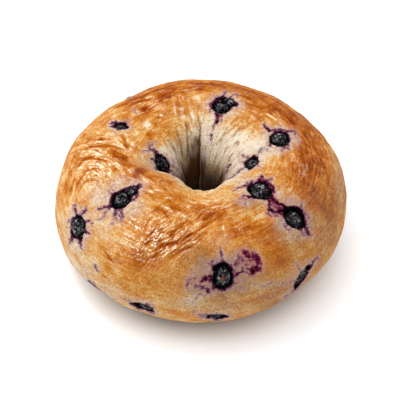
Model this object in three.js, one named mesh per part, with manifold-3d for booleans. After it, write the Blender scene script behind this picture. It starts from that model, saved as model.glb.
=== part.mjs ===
// A blueberry bagel: one thick ring of baked dough with a pleated hole, and the blueberries that
// show in its crust, each a solid of its own that sits in a pocket of the dough.
// Millimetres, +Z up. The origin is the middle of the underside, at the height of the table.
// The near side of the bagel, the one with the most berries, is towards -Y.
import * as THREE from "three";
import { mergeVertices } from "three/addons/utils/BufferGeometryUtils.js";
import Module from "manifold-3d";

// Driving sizes of the ring
const DIAMETER = 105;
const HEIGHT = 40.5;
const HOLE_RADIUS = 6.1; // at the waist, where the hole is narrowest
const WAIST_HEIGHT = 18.7; // where the ring is widest
const SOLE_SINK = 2; // how much of the round underside the baking tray has flattened
const CROWN_POWER = 2.45; // 2 is an ellipse, and more is squarer
const SOLE_POWER = 1.8;

const RING_RADIUS = (DIAMETER / 2 + HOLE_RADIUS) / 2;
const HALF_WIDTH = (DIAMETER / 2 - HOLE_RADIUS) / 2;
const CROWN_RISE = HEIGHT - WAIST_HEIGHT;
const SOLE_DROP = WAIST_HEIGHT + SOLE_SINK;

// Fineness of the ring's mesh: steps round the ring, and steps round its section
const STEPS_AROUND = 92;
const STEPS_OVER = 32;

// A place on the crust is two angles in degrees. around goes counter-clockwise round the ring, seen
// from above, from +X. over goes round the section: 0 outside, 90 crown, 180 hole, 270 underside.

// Slow waves that keep the ring from being a perfect one: turns around, turns over, phase, height
const WAVES = [
  { around: 1, over: 0, phase: 246, height: 0.37 },
  { around: 2, over: 0, phase: 304, height: 0.63 },
  { around: 3, over: 0, phase: 202, height: 0.56 },
  { around: 3, over: 1, phase: 40, height: 0.3 },
  { around: 5, over: -2, phase: 110, height: 0.22 },
  { around: 7, over: 3, phase: 300, height: 0.12 },
];

// Broad swells and hollows of the dough, with how far each reaches, in degrees
const SWELLS = [
  { around: 226, over: 112, reach: [34, 26], rise: 1.5 }, // cheek that folds over the hole's near left
  { around: 305, over: 112, reach: [30, 24], rise: 0.9 }, // cheek on the near right
  { around: 178, over: 132, reach: [20, 26], rise: -4.6 }, // hollow wall behind the left cheek
  { around: 352, over: 128, reach: [20, 24], rise: -1.8 }, // hollow wall behind the right cheek
  { around: 120, over: 125, reach: [24, 30], rise: -0.8 }, // drawn-in dough left of the seam
  { around: 66, over: 128, reach: [22, 30], rise: 0.7 }, // plump fold right of the seam
  { around: 268, over: 92, reach: [16, 22], rise: -0.5 }, // dip in the near lip of the hole
  { around: 205, over: 40, reach: [40, 34], rise: 0.4 }, // fullness of the left shoulder
];

// Where on the section the seam and the pleats start at the crown, are at their deepest, begin to
// fade below the waist of the hole, and end at the underside
const SEAM_RANGE = [92, 150, 215, 250];
const PLEAT_RANGE = [105, 160, 215, 250];

// The seam, where the two ends of the rope of dough were pressed together
const SEAM = { around: 94, depth: 2.4, sharp: 1.8, soft: 9 };

// The pleats that the dough drew into as it was shaped round the hole
const PLEATS = 15;
const PLEAT_DEPTH = 0.75;
const PLEAT_WIDTH = 4.2; // degrees
const PLEAT_LEAN = 0.12; // how far a pleat drifts round the ring as it climbs
const PLEAT_STRAY = 0.3; // how far a pleat is from its even place, in parts of the spacing

const GAP = 0.3; // between a berry and its pocket
const BERRY_DETAIL = 2; // how many times the faces of each berry's ball are divided
const PUCKER_DEPTH = 0.5; // how far the crust is drawn in round a berry
const PUCKER_REACH = 4.2;

// How deep the skin of a berry creases and dents, in parts of its size
const CREASE = 0.035;
const DENT = 0.03;

// The berries: place, sizes along and across, height, how far each stands proud of the crust, and
// how far its long side is turned from the way round the ring. A fold is burst skin at its side.
const BERRIES = [
  { name: "berry_back", around: 73.5, over: 95, size: [6.2, 5.8, 5.4], proud: 1.3, turn: 0,
    fold: { ahead: -1.9, inward: -3.7, size: [5.2, 3.3, 3.4], turn: -12 } },
  { name: "berry_far_left", around: 149, over: 83, size: [5.0, 4.4, 4.4], proud: 0.6, turn: -72 },
  { name: "berry_hole_left", around: 161, over: 136, size: [7.4, 5.0, 4.8], proud: 0.9, turn: 78 },
  { name: "berry_right_back", around: 21, over: 89.5, size: [7.0, 6.8, 6.2], proud: 1.4, turn: 39 },
  { name: "berry_hole_right", around: 4.5, over: 119, size: [5.4, 5.0, 4.6], proud: 0.9, turn: -85 },
  { name: "berry_left_top", around: 219, over: 80.5, size: [8.0, 6.6, 6.4], proud: 1.4, turn: -58,
    fold: { ahead: 0, inward: 4.7, size: [4.8, 3.4, 3.4], turn: -68 } },
  { name: "berry_left_side", around: 213, over: 34.5, size: [8.2, 7.2, 6.4], proud: 1.4, turn: -26 },
  { name: "berry_right_lip", around: 319.5, over: 94.5, size: [8.2, 7.4, 6.4], proud: 1.5, turn: 68 },
  { name: "berry_right_top", around: 318.5, over: 60.5, size: [7.8, 7.2, 6.2], proud: 1.4, turn: 67 },
  { name: "berry_front", around: 278.5, over: 32.5, size: [8.2, 6.9, 6.4], proud: 1.3, turn: 88 },
  { name: "berry_right_low", around: 312, over: 2, size: [9.0, 6.2, 5.4], proud: 0.9, turn: 44 },
  { name: "berry_near_left_low", around: 248, over: 349, size: [7.6, 5.2, 5.0], proud: 0.8, turn: -13 },
  { name: "berry_near_low", around: 276, over: 346, size: [7.4, 4.8, 5.0], proud: 0.8, turn: -10 },
  { name: "berry_far_side", around: 122, over: 24, size: [7.4, 6.8, 6.0], proud: 1.3, turn: 40 },
  { name: "berry_far_right", around: 42, over: 14, size: [7.8, 7.0, 6.2], proud: 1.4, turn: 100 },
  { name: "berry_far_low", around: 84, over: 350, size: [6.4, 5.2, 5.0], proud: 0.8, turn: 10 },
  { name: "berry_left_low", around: 163, over: 345, size: [7.0, 6.0, 5.4], proud: 1.0, turn: 0 },
  { name: "berry_right_under", around: 14, over: 334, size: [6.8, 5.4, 5.0], proud: 0.8, turn: 30 },
];

const radians = THREE.MathUtils.degToRad;
const signedPower = (value, power) => Math.sign(value) * Math.abs(value) ** power;
const bell = (distance) => Math.exp(-distance * distance);
const unevenness = (number) => Math.sin(12.9898 * number); // the same uneven row each time, -1 to 1

// The difference between two angles in degrees, from -180 to 180
function turnBetween(angle, from) {
  return THREE.MathUtils.euclideanModulo(angle - from + 180, 360) - 180;
}

function waves(around, over) {
  let height = 0;
  for (const wave of WAVES) {
    height += wave.height * Math.sin(radians(wave.around * around + wave.over * over + wave.phase));
  }
  return height;
}

function swells(around, over) {
  let height = 0;
  for (const swell of SWELLS) {
    const ahead = turnBetween(around, swell.around) / swell.reach[0];
    const up = turnBetween(over, swell.over) / swell.reach[1];
    height += swell.rise * bell(Math.hypot(ahead, up));
  }
  return height;
}

// 1 on the wall of the hole, fading to 0 towards the crown and the underside
function inTheHole(over, range) {
  const [start, full, fade, end] = range;
  const top = THREE.MathUtils.smoothstep(over, start, full);
  const bottom = 1 - THREE.MathUtils.smoothstep(over, fade, end);
  return top * bottom;
}

// The seam is steep on its right flank and fades slowly on its left
function seam(around, over) {
  const off = turnBetween(around, SEAM.around);
  const flank = off > 0 ? Math.exp(-off / SEAM.soft) : bell(off / SEAM.sharp);
  return SEAM.depth * flank * inTheHole(over, SEAM_RANGE);
}

function pleats(around, over) {
  let depth = 0;
  for (let number = 0; number < PLEATS; number++) {
    const steps = number + 0.5 + PLEAT_STRAY * unevenness(number);
    const place = SEAM.around + (steps * 360) / PLEATS;
    const lean = PLEAT_LEAN * unevenness(number + PLEATS) * (180 - over);
    const off = turnBetween(around, place + lean);
    const strength = 0.65 + 0.35 * unevenness(number + 2 * PLEATS);
    depth += strength * bell(off / PLEAT_WIDTH);
  }
  return PLEAT_DEPTH * depth * inTheHole(over, PLEAT_RANGE);
}

// The bare ring, before the berries drew its crust in
function ring(around, over) {
  const raised = waves(around, over) + swells(around, over);
  const relief = raised - seam(around, over) - pleats(around, over);
  const power = 2 / (over < 180 ? CROWN_POWER : SOLE_POWER);
  const rise = over < 180 ? CROWN_RISE : SOLE_DROP;
  const out = Math.cos(radians(over));
  const up = Math.sin(radians(over));
  const radius = RING_RADIUS + HALF_WIDTH * signedPower(out, power) + relief * out;
  const height = WAIST_HEIGHT + rise * signedPower(up, power) + relief * up;
  return new THREE.Vector3(
    radius * Math.cos(radians(around)),
    radius * Math.sin(radians(around)),
    height,
  );
}

// Which way is ahead round the ring, inward over the crown and out of the crust, as a place's axes
function axesAt(around, over) {
  const step = 0.5; // degrees to each side, for the slope
  const ahead = ring(around + step, over).sub(ring(around - step, over)).normalize();
  const inward = ring(around, over + step).sub(ring(around, over - step)).normalize();
  const outward = new THREE.Vector3().crossVectors(ahead, inward).normalize();
  inward.crossVectors(outward, ahead);
  return { ahead, inward, outward };
}

// The crust: the ring, drawn in round each berry and pressed flat on the table
const berrySpots = BERRIES.map((berry) => ring(berry.around, berry.over));

function crust(around, over) {
  const point = ring(around, over);
  let pucker = 0;
  for (const spot of berrySpots) {
    pucker += PUCKER_DEPTH * bell(point.distanceTo(spot) / PUCKER_REACH);
  }
  const middle = new THREE.Vector3(
    RING_RADIUS * Math.cos(radians(around)),
    RING_RADIUS * Math.sin(radians(around)),
    WAIST_HEIGHT,
  );
  point.addScaledVector(middle.sub(point).normalize(), pucker);
  point.z = Math.max(point.z, 0);
  return point;
}

// A closed grid of the crust. Its first row of points lies along the seam.
function crustGeometry() {
  const positions = [];
  const faces = [];
  for (let i = 0; i < STEPS_AROUND; i++) {
    for (let j = 0; j < STEPS_OVER; j++) {
      const around = SEAM.around + (i * 360) / STEPS_AROUND;
      const over = (j * 360) / STEPS_OVER;
      positions.push(...crust(around, over).toArray());
      const here = i * STEPS_OVER;
      const ahead = ((i + 1) % STEPS_AROUND) * STEPS_OVER;
      const inward = (j + 1) % STEPS_OVER;
      faces.push(here + j, ahead + j, ahead + inward);
      faces.push(here + j, ahead + inward, here + inward);
    }
  }
  const geometry = new THREE.BufferGeometry();
  geometry.setAttribute("position", new THREE.Float32BufferAttribute(positions, 3));
  geometry.setIndex(faces);
  return geometry;
}

// A ball of the given length, width and height, with its skin moved out by extra and crumpled in a
// way that differs with the berry's number
function berryGeometry(size, extra, number) {
  const geometry = new THREE.IcosahedronGeometry(1, BERRY_DETAIL);
  const points = geometry.getAttribute("position");
  const half = size.map((length) => length / 2 + extra);
  for (let i = 0; i < points.count; i++) {
    const x = points.getX(i);
    const y = points.getY(i);
    const z = points.getZ(i);
    const creases = Math.sin(5 * Math.atan2(y, x) + number) * (1 - z * z);
    const dents = Math.sin(4 * x + 3 * z + number);
    const crumple = 1 + CREASE * creases + DENT * dents;
    points.setXYZ(i, x * half[0] * crumple, y * half[1] * crumple, z * half[2] * crumple);
  }
  return geometry;
}

// Where a berry's middle lies, with its long side turned in the plane of the crust
function berryMatrix(berry, part) {
  const { ahead, inward, outward } = axesAt(berry.around, berry.over);
  const depth = part.size[2] / 2 - berry.proud;
  const place = crust(berry.around, berry.over)
    .addScaledVector(ahead, part.ahead ?? 0)
    .addScaledVector(inward, part.inward ?? 0)
    .addScaledVector(outward, -depth);
  return new THREE.Matrix4()
    .makeBasis(ahead, inward, outward)
    .setPosition(place)
    .multiply(new THREE.Matrix4().makeRotationZ(radians(part.turn)));
}

const wasm = await Module();
wasm.setup();

function toSolid(geometry) {
  const bare = geometry.clone();
  bare.deleteAttribute("normal");
  bare.deleteAttribute("uv");
  const merged = mergeVertices(bare, 1e-4);
  return new wasm.Manifold(
    new wasm.Mesh({
      numProp: 3,
      vertProperties: new Float32Array(merged.getAttribute("position").array),
      triVerts: new Uint32Array(merged.index.array),
    }),
  );
}

function toGeometry(solid) {
  const mesh = solid.getMesh();
  const geometry = new THREE.BufferGeometry();
  geometry.setAttribute("position", new THREE.BufferAttribute(mesh.vertProperties.slice(), 3));
  geometry.setIndex(new THREE.BufferAttribute(mesh.triVerts.slice(), 1));
  geometry.computeVertexNormals();
  return geometry;
}

// A berry as a solid, with its fold joined on, grown by extra on every side
function berrySolid(berry, number, extra) {
  let solid = toSolid(berryGeometry(berry.size, extra, number).applyMatrix4(berryMatrix(berry, berry)));
  if (berry.fold) {
    const fold = berryGeometry(berry.fold.size, extra, number + 0.5);
    solid = solid.add(toSolid(fold.applyMatrix4(berryMatrix(berry, berry.fold))));
  }
  return solid;
}

const crustMaterial = new THREE.MeshStandardMaterial({ color: 0xd29a56, roughness: 0.45, metalness: 0 });
const berryMaterial = new THREE.MeshStandardMaterial({ color: 0x2a2530, roughness: 0.4, metalness: 0 });

const bagel = new THREE.Group();

let dough = toSolid(crustGeometry());
BERRIES.forEach((berry, number) => {
  dough = dough.subtract(berrySolid(berry, number, GAP));
  const mesh = new THREE.Mesh(toGeometry(berrySolid(berry, number, 0)), berryMaterial);
  mesh.name = berry.name;
  bagel.add(mesh);
});
const doughMesh = new THREE.Mesh(toGeometry(dough), crustMaterial);
doughMesh.name = "dough";
bagel.add(doughMesh);

// The uneven ring is centred on the origin by its own box
const box = new THREE.Box3().setFromObject(bagel);
const centre = box.getCenter(new THREE.Vector3());
bagel.position.set(-centre.x, -centre.y, 0);

const part = new THREE.Group();
part.add(bagel);
export default part;
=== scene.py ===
import math

import bmesh
import bpy
import numpy as np
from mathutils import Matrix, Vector


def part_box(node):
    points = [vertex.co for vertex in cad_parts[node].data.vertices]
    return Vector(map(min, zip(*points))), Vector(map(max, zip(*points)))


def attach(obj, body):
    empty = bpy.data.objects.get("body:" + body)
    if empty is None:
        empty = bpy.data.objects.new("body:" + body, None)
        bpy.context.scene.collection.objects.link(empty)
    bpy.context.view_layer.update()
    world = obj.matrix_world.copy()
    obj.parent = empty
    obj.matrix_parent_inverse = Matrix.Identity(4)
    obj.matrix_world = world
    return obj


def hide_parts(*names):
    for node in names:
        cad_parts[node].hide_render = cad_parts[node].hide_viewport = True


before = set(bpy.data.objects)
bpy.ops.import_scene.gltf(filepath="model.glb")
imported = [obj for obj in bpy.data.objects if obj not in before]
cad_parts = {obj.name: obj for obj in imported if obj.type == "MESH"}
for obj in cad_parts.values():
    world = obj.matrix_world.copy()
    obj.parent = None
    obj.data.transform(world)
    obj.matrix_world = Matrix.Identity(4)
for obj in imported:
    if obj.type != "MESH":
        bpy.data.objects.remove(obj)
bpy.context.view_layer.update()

MM = 0.001

# The ring of dough, with the same sizes as the solid

DIAMETER = 105
HEIGHT = 40.5
HOLE_RADIUS = 6.1
WAIST_HEIGHT = 18.7
SOLE_SINK = 2
CROWN_POWER = 2.45
SOLE_POWER = 1.8

RING_RADIUS = (DIAMETER / 2 + HOLE_RADIUS) / 2
HALF_WIDTH = (DIAMETER / 2 - HOLE_RADIUS) / 2
CROWN_RISE = HEIGHT - WAIST_HEIGHT
SOLE_DROP = WAIST_HEIGHT + SOLE_SINK
SECTION_GIRTH = 145

# A place on the crust is two angles in degrees. around goes counter-clockwise from +X, seen from
# above. over goes round the section: 0 outside, 90 crown, 180 hole, 270 underside.
# Waves: turns around, turns over, phase, height
WAVES = [
    (1, 0, 246, 0.37),
    (2, 0, 304, 0.63),
    (3, 0, 202, 0.56),
    (3, 1, 40, 0.3),
    (5, -2, 110, 0.22),
    (7, 3, 300, 0.12),
]

# Swells and hollows: around, over, reach around, reach over, rise
SWELLS = [
    (226, 112, 34, 26, 1.5),
    (305, 112, 30, 24, 0.9),
    (178, 132, 20, 26, -4.6),
    (352, 128, 20, 24, -1.8),
    (120, 125, 24, 30, -0.8),
    (66, 128, 22, 30, 0.7),
    (268, 92, 16, 22, -0.5),
    (205, 40, 40, 34, 0.4),
]

SEAM_RANGE = (92, 150, 215, 250)
PLEAT_RANGE = (105, 160, 215, 250)
SEAM_AROUND = 94
SEAM_DEPTH = 2.4
SEAM_SHARP = 1.8
SEAM_SOFT = 9
PLEATS = 15
PLEAT_DEPTH = 0.75
PLEAT_WIDTH = 4.2
PLEAT_LEAN = 0.12
PLEAT_STRAY = 0.3

PUCKER_DEPTH = 0.5
PUCKER_REACH = 4.2

# The berries: around, over, size, how far it stands proud, turn, and, where its skin has burst
# into a fold beside it, the fold's way ahead and inward, size and turn. The last five are at the
# back and underneath, where the photograph doesn't show them.
BERRIES = {
    "berry_back": (73.5, 95, (6.2, 5.8, 5.4), 1.3, 0, (-1.9, -3.7, (5.2, 3.3, 3.4), -12)),
    "berry_far_left": (149, 83, (5.0, 4.4, 4.4), 0.6, -72, None),
    "berry_hole_left": (161, 136, (7.4, 5.0, 4.8), 0.9, 78, None),
    "berry_right_back": (21, 89.5, (7.0, 6.8, 6.2), 1.4, 39, None),
    "berry_hole_right": (4.5, 119, (5.4, 5.0, 4.6), 0.9, -85, None),
    "berry_left_top": (219, 80.5, (8.0, 6.6, 6.4), 1.4, -58, (0, 4.7, (4.8, 3.4, 3.4), -68)),
    "berry_left_side": (213, 34.5, (8.2, 7.2, 6.4), 1.4, -26, None),
    "berry_right_lip": (319.5, 94.5, (8.2, 7.4, 6.4), 1.5, 68, None),
    "berry_right_top": (318.5, 60.5, (7.8, 7.2, 6.2), 1.4, 67, None),
    "berry_front": (278.5, 32.5, (8.2, 6.9, 6.4), 1.3, 88, None),
    "berry_right_low": (312, 2, (9.0, 6.2, 5.4), 0.9, 44, None),
    "berry_near_left_low": (248, 349, (7.6, 5.2, 5.0), 0.8, -13, None),
    "berry_near_low": (276, 346, (7.4, 4.8, 5.0), 0.8, -10, None),
    "berry_far_side": (122, 24, (7.4, 6.8, 6.0), 1.3, 40, None),
    "berry_far_right": (42, 14, (7.8, 7.0, 6.2), 1.4, 100, None),
    "berry_far_low": (84, 350, (6.4, 5.2, 5.0), 0.8, 10, None),
    "berry_left_low": (163, 345, (7.0, 6.0, 5.4), 1.0, 0, None),
    "berry_right_under": (14, 334, (6.8, 5.4, 5.0), 0.8, 30, None),
}
HIDDEN_BERRIES = list(BERRIES)[-5:]


def turn_between(angle, start):
    return (angle - start + 180) % 360 - 180


def bell(distance):
    return np.exp(-distance * distance)


def step(value, low, high):
    """0 below low, 1 above high, and smooth between."""
    part = np.clip((value - low) / (high - low), 0, 1)
    return part * part * (3 - 2 * part)


def signed_power(value, power):
    return np.sign(value) * np.abs(value) ** power


def unevenness(number):
    return math.sin(12.9898 * number)


def rotated(x, y, degrees):
    """A place turned by that angle."""
    c, s = math.cos(math.radians(degrees)), math.sin(math.radians(degrees))
    return c * x - s * y, s * x + c * y


def between(over, limits):
    """1 between the middle two limits, 0 outside the outer two, and smooth between."""
    start, full, fade, end = limits
    return step(over, start, full) * (1 - step(over, fade, end))


def ring(around, over):
    """Points of the bare ring, before the berries drew its crust in."""
    around = np.asarray(around, float)
    over = np.mod(np.asarray(over, float), 360)
    relief = np.zeros(np.broadcast(around, over).shape)
    for turns_around, turns_over, phase, height in WAVES:
        relief += height * np.sin(np.radians(turns_around * around + turns_over * over + phase))
    for at, up, reach_around, reach_over, rise in SWELLS:
        ahead = turn_between(around, at) / reach_around
        relief += rise * bell(np.hypot(ahead, turn_between(over, up) / reach_over))
    off = turn_between(around, SEAM_AROUND)
    flank = np.where(off > 0, np.exp(-np.abs(off) / SEAM_SOFT), bell(off / SEAM_SHARP))
    relief -= SEAM_DEPTH * flank * between(over, SEAM_RANGE)
    depth = np.zeros_like(relief)
    for number in range(PLEATS):
        steps = number + 0.5 + PLEAT_STRAY * unevenness(number)
        lean = PLEAT_LEAN * unevenness(number + PLEATS) * (180 - over)
        off = turn_between(around, SEAM_AROUND + steps * 360 / PLEATS + lean)
        depth += (0.65 + 0.35 * unevenness(number + 2 * PLEATS)) * bell(off / PLEAT_WIDTH)
    relief -= PLEAT_DEPTH * depth * between(over, PLEAT_RANGE)
    crown = over < 180
    power = 2 / np.where(crown, CROWN_POWER, SOLE_POWER)
    rise = np.where(crown, CROWN_RISE, SOLE_DROP)
    out = np.cos(np.radians(over))
    up = np.sin(np.radians(over))
    radius = RING_RADIUS + HALF_WIDTH * signed_power(out, power) + relief * out
    height = WAIST_HEIGHT + rise * signed_power(up, power) + relief * up
    turn = np.radians(around)
    return np.stack([radius * np.cos(turn), radius * np.sin(turn), height], -1)


def unit(vectors):
    return vectors / np.maximum(np.linalg.norm(vectors, axis=-1, keepdims=True), 1e-12)


def axes_at(around, over):
    """Which way is ahead round the ring, inward over the crown, and out of the crust."""
    ahead = unit(ring(around + 0.5, over) - ring(around - 0.5, over))
    inward = unit(ring(around, over + 0.5) - ring(around, over - 0.5))
    outward = unit(np.cross(ahead, inward))
    return ahead, np.cross(outward, ahead), outward


def crust(around, over):
    """The ring, drawn in round each berry and pressed flat on the table."""
    points = ring(around, over)
    pucker = np.zeros(points.shape[:-1])
    for name in BERRIES:
        spot = ring(*BERRIES[name][:2])
        pucker += PUCKER_DEPTH * bell(np.linalg.norm(points - spot, axis=-1) / PUCKER_REACH)
    turn = np.radians(around)
    middle = np.stack(
        np.broadcast_arrays(RING_RADIUS * np.cos(turn), RING_RADIUS * np.sin(turn), WAIST_HEIGHT),
        -1,
    )
    points = points + unit(middle - points) * pucker[..., None]
    points[..., 2] = np.maximum(points[..., 2], 0)
    return points


# Where the crust is a little flatter than the solid: around, over, reach around, reach over, depth
FLATTER = [
    (90, 50, 48, 45, 0.9),
    (172, 18, 22, 45, 0.8),
    (262, 328, 60, 32, 0.6),
]


def flattening(around, over):
    sunk = 0
    for at, up, reach_around, reach_over, depth in FLATTER:
        off = np.hypot(turn_between(around, at) / reach_around, turn_between(over, up) / reach_over)
        sunk = sunk + depth * bell(off)
    return sunk


# Uneven noise in space, smooth between the corners of a unit grid, from -1 to 1


def corner_value(x, y, z, seed):
    mixed = (x * 73856093) ^ (y * 19349663) ^ (z * 83492791) ^ (seed * 2654435761)
    mixed = mixed & 0xFFFFFFFF
    mixed = ((mixed ^ (mixed >> 15)) * 2246822519) & 0xFFFFFFFF
    mixed = ((mixed ^ (mixed >> 13)) * 3266489917) & 0xFFFFFFFF
    mixed = mixed ^ (mixed >> 16)
    return mixed / 2147483647.5 - 1


def noise(points, seed):
    points = np.asarray(points, float)
    cell = np.floor(points).astype(np.int64)
    part = points - cell
    part = part * part * part * (part * (part * 6 - 15) + 10)
    total = 0
    for dx in (0, 1):
        for dy in (0, 1):
            for dz in (0, 1):
                value = corner_value(cell[..., 0] + dx, cell[..., 1] + dy, cell[..., 2] + dz, seed)
                share = 1
                for axis, d in enumerate((dx, dy, dz)):
                    share = share * (part[..., axis] if d else 1 - part[..., axis])
                total = total + share * value
    return total


def rough(points, size, seed, layers=3):
    """Noise of that size in millimetres, with finer layers on it."""
    total = 0
    weight = 0
    for layer in range(layers):
        total = total + noise(points / size * 2**layer + 17.3 * layer, seed + layer) / 1.7**layer
        weight += 1 / 1.7**layer
    return total / weight


# The rows of the crust's mesh: close together where the crust shows, wider apart on the underside,
# and with fewer points round the hole, where the ring is short

POINTS_OUTSIDE = 576
POINTS_INSIDE = 288
INSIDE_RADIUS = 26
SHOWN_STEP = 0.54
UNDER_STEP = 1.0
UNDER_RANGE = (205, 322)
ROW_SEARCH_DEGREES = 0.05
LEAST_LENGTH = 0.004
MEASURED_AROUND = 180.0


def crust_rows():
    """The over angle of each row, and its number of points."""
    overs = np.arange(0, 360, ROW_SEARCH_DEGREES)
    section = ring(np.full_like(overs, MEASURED_AROUND), overs)
    section[:, 2] = np.maximum(section[:, 2], 0)
    lengths = np.linalg.norm(np.diff(section, axis=0), axis=1)
    under = (overs[:-1] > UNDER_RANGE[0]) & (overs[:-1] < UNDER_RANGE[1])
    wanted = np.where(under, UNDER_STEP, SHOWN_STEP)
    along = np.concatenate([[0], np.cumsum(np.maximum(lengths, LEAST_LENGTH) / wanted)])
    count = int(round(along[-1]))
    rows = np.interp(np.arange(count) * along[-1] / count, along, overs)
    radii = np.hypot(*ring(np.full_like(rows, MEASURED_AROUND), rows)[:, :2].T)
    points = np.where(radii > INSIDE_RADIUS, POINTS_OUTSIDE, POINTS_INSIDE)
    return rows, points


def crust_faces(points):
    """Faces that join each row to the next, where a row may have half as many points."""
    starts = np.concatenate([[0], np.cumsum(points)[:-1]])
    faces = []
    for row in range(len(points)):
        after = (row + 1) % len(points)
        here, there = points[row], points[after]
        a, b = starts[row], starts[after]
        i = np.arange(min(here, there))
        j = (i + 1) % min(here, there)
        if here == there:
            faces += [np.stack([a + i, a + j, b + j], 1), np.stack([a + i, b + j, b + i], 1)]
        elif here > there:
            mid, end = 2 * i + 1, (2 * i + 2) % here
            faces += [
                np.stack([a + 2 * i, a + mid, b + i], 1),
                np.stack([a + mid, b + j, b + i], 1),
                np.stack([a + mid, a + end, b + j], 1),
            ]
        else:
            mid, end = 2 * i + 1, (2 * i + 2) % there
            faces += [
                np.stack([a + i, b + mid, b + 2 * i], 1),
                np.stack([a + i, a + j, b + mid], 1),
                np.stack([a + j, b + end, b + mid], 1),
            ]
    return np.concatenate(faces)


def corner_normals(points, faces):
    a, b, c = points[faces[:, 0]], points[faces[:, 1]], points[faces[:, 2]]
    flat = np.cross(b - a, c - a)
    normals = np.zeros_like(points)
    for k in range(3):
        np.add.at(normals, faces[:, k], flat)
    return unit(normals)


rows, row_points = crust_rows()
over = np.repeat(rows, row_points)
around = np.concatenate([SEAM_AROUND + np.arange(n) * 360 / n for n in row_points]) % 360
faces = crust_faces(row_points)
base = crust(around, over)
outward = corner_normals(base, faces)
turn = np.radians(around)
round_ring = np.stack([np.cos(turn), np.sin(turn)], -1)


def from_place(at):
    return np.linalg.norm(base - crust(*at), axis=1)


# The box of the solid, which has fewer points than this mesh, tells where the ring's centre lies
SOLID_POINTS_AROUND = 92
SOLID_POINTS_OVER = 32
low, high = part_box("dough")
grid_around, grid_over = np.meshgrid(
    SEAM_AROUND + np.arange(SOLID_POINTS_AROUND) * 360 / SOLID_POINTS_AROUND,
    np.arange(SOLID_POINTS_OVER) * 360 / SOLID_POINTS_OVER,
)
grid = crust(grid_around.ravel(), grid_over.ravel())
shift = (np.add(low, high) / MM - grid.min(0) - grid.max(0)) / 2
shift[2] = 0

# The picture: where the camera stands, in millimetres, and its scale. Marks that show in it are laid
# out in its own frame, in pixels to the right and down.
CAMERA_ELEVATION = 45.0
CAMERA_DISTANCE = 600
LOOKED_AT = 20
FRAME_PIXELS = 400
PIXELS_PER_MM = 2.798
VIEW_MIDDLE = (200.15, 197.85)


def in_the_picture(points):
    """Where points show in the picture, and the way from them to the camera."""
    tilt = math.radians(CAMERA_ELEVATION)
    back = np.array([0, -math.cos(tilt), math.sin(tilt)])
    up = np.array([0, math.sin(tilt), math.cos(tilt)])
    eye = np.array([0, 0, LOOKED_AT]) + back * CAMERA_DISTANCE
    away = points + shift - eye
    scale = PIXELS_PER_MM * CAMERA_DISTANCE / -(away @ back)
    places = np.stack([VIEW_MIDDLE[0] + scale * away[:, 0], VIEW_MIDDLE[1] - scale * (away @ up)], 1)
    return places, unit(-away)


# How much of each point shows, leaving out the underside, and the picture rippled so that marks
# drawn in it have uneven edges
UNDERSIDE = (235, 290)
RIPPLE_PIXELS = 1.5
picture, to_camera = in_the_picture(base)
shown = step(np.sum(outward * to_camera, 1), 0.0, 0.12)
shown = shown * ((over < UNDERSIDE[0]) | (over > UNDERSIDE[1]))
hidden = 1 - shown
ripple = np.stack([rough(base, 2.6, 31, 2), rough(base, 2.6, 36, 2)], 1)
picture = picture + RIPPLE_PIXELS * ripple


LINE_STEPS = 6


def smooth_line(points):
    """Points of a smooth line through the given ones."""
    p = np.array([points[0], *points, points[-1]], float)
    line = []
    for i in range(1, len(p) - 2):
        for t in np.arange(LINE_STEPS) / LINE_STEPS:
            line.append(
                0.5 * (
                    2 * p[i]
                    + (p[i + 1] - p[i - 1]) * t
                    + (2 * p[i - 1] - 5 * p[i] + 4 * p[i + 1] - p[i + 2]) * t**2
                    + (3 * p[i] - p[i - 1] - 3 * p[i + 1] + p[i + 2]) * t**3
                )
            )
    return np.array(line + [p[-2]])


def stroke(points, width, end_width=None):
    """Which points of the crust lie near a drawn line, their distance from it in half widths, the
    half width in pixels, and how far along the line they are."""
    line = smooth_line(points)
    end_width = width if end_width is None else end_width
    margin = 2.5 * max(width, end_width) + 2
    box = np.all((picture > line.min(0) - margin) & (picture < line.max(0) + margin), axis=1)
    chosen = np.flatnonzero(box & (shown > 0))
    place_here = picture[chosen]
    steps = np.linalg.norm(np.diff(line, axis=0), axis=1)
    starts = np.concatenate([[0], np.cumsum(steps)])
    nearest = np.full(len(chosen), 1e9)
    share = np.zeros(len(chosen))
    for a, b, start, length in zip(line[:-1], line[1:], starts, steps):
        part = np.clip((place_here - a) @ (b - a) / max(length, 1e-6) ** 2, 0, 1)
        gap = np.linalg.norm(place_here - a - part[:, None] * (b - a), axis=1)
        closer = gap < nearest
        nearest = np.where(closer, gap, nearest)
        share = np.where(closer, (start + part * length) / starts[-1], share)
    half = (width + (end_width - width) * share) / 2
    return chosen, nearest / half, half, share


def blotch(x, y, reach_x, reach_y, tilt):
    """How near the crust is to a soft patch in the picture, from 0 to 1."""
    along, across = rotated(picture[:, 0] - x, picture[:, 1] - y, tilt)
    return shown * bell(np.hypot(along / reach_x, across / reach_y))


# In the lists of patches each one has a share, its reach across and down, its tilt in degrees, and
# its middle in pixels


def each_patch(patches):
    return [share * blotch(x, y, *reach_and_tilt) for share, *reach_and_tilt, x, y in patches]


def strongest(patches):
    return np.maximum.reduce(each_patch(patches))


def summed(patches):
    return np.sum(each_patch(patches), axis=0)


# Distances across the arcs on the left, and along and across the ridges in front, in pixels
ARC_MIDDLE = (93, 192)
arc_off = picture - np.array(ARC_MIDDLE)
arc_distance = np.hypot(*arc_off.T)
arc_turn = np.arctan2(arc_off[:, 1], arc_off[:, 0])
RIDGE_TILT = 37
ridge_along, ridge_across = rotated(picture[:, 0], picture[:, 1], RIDGE_TILT)

# How the crust is wrinkled. Ranges are over angles, as above.

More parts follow.
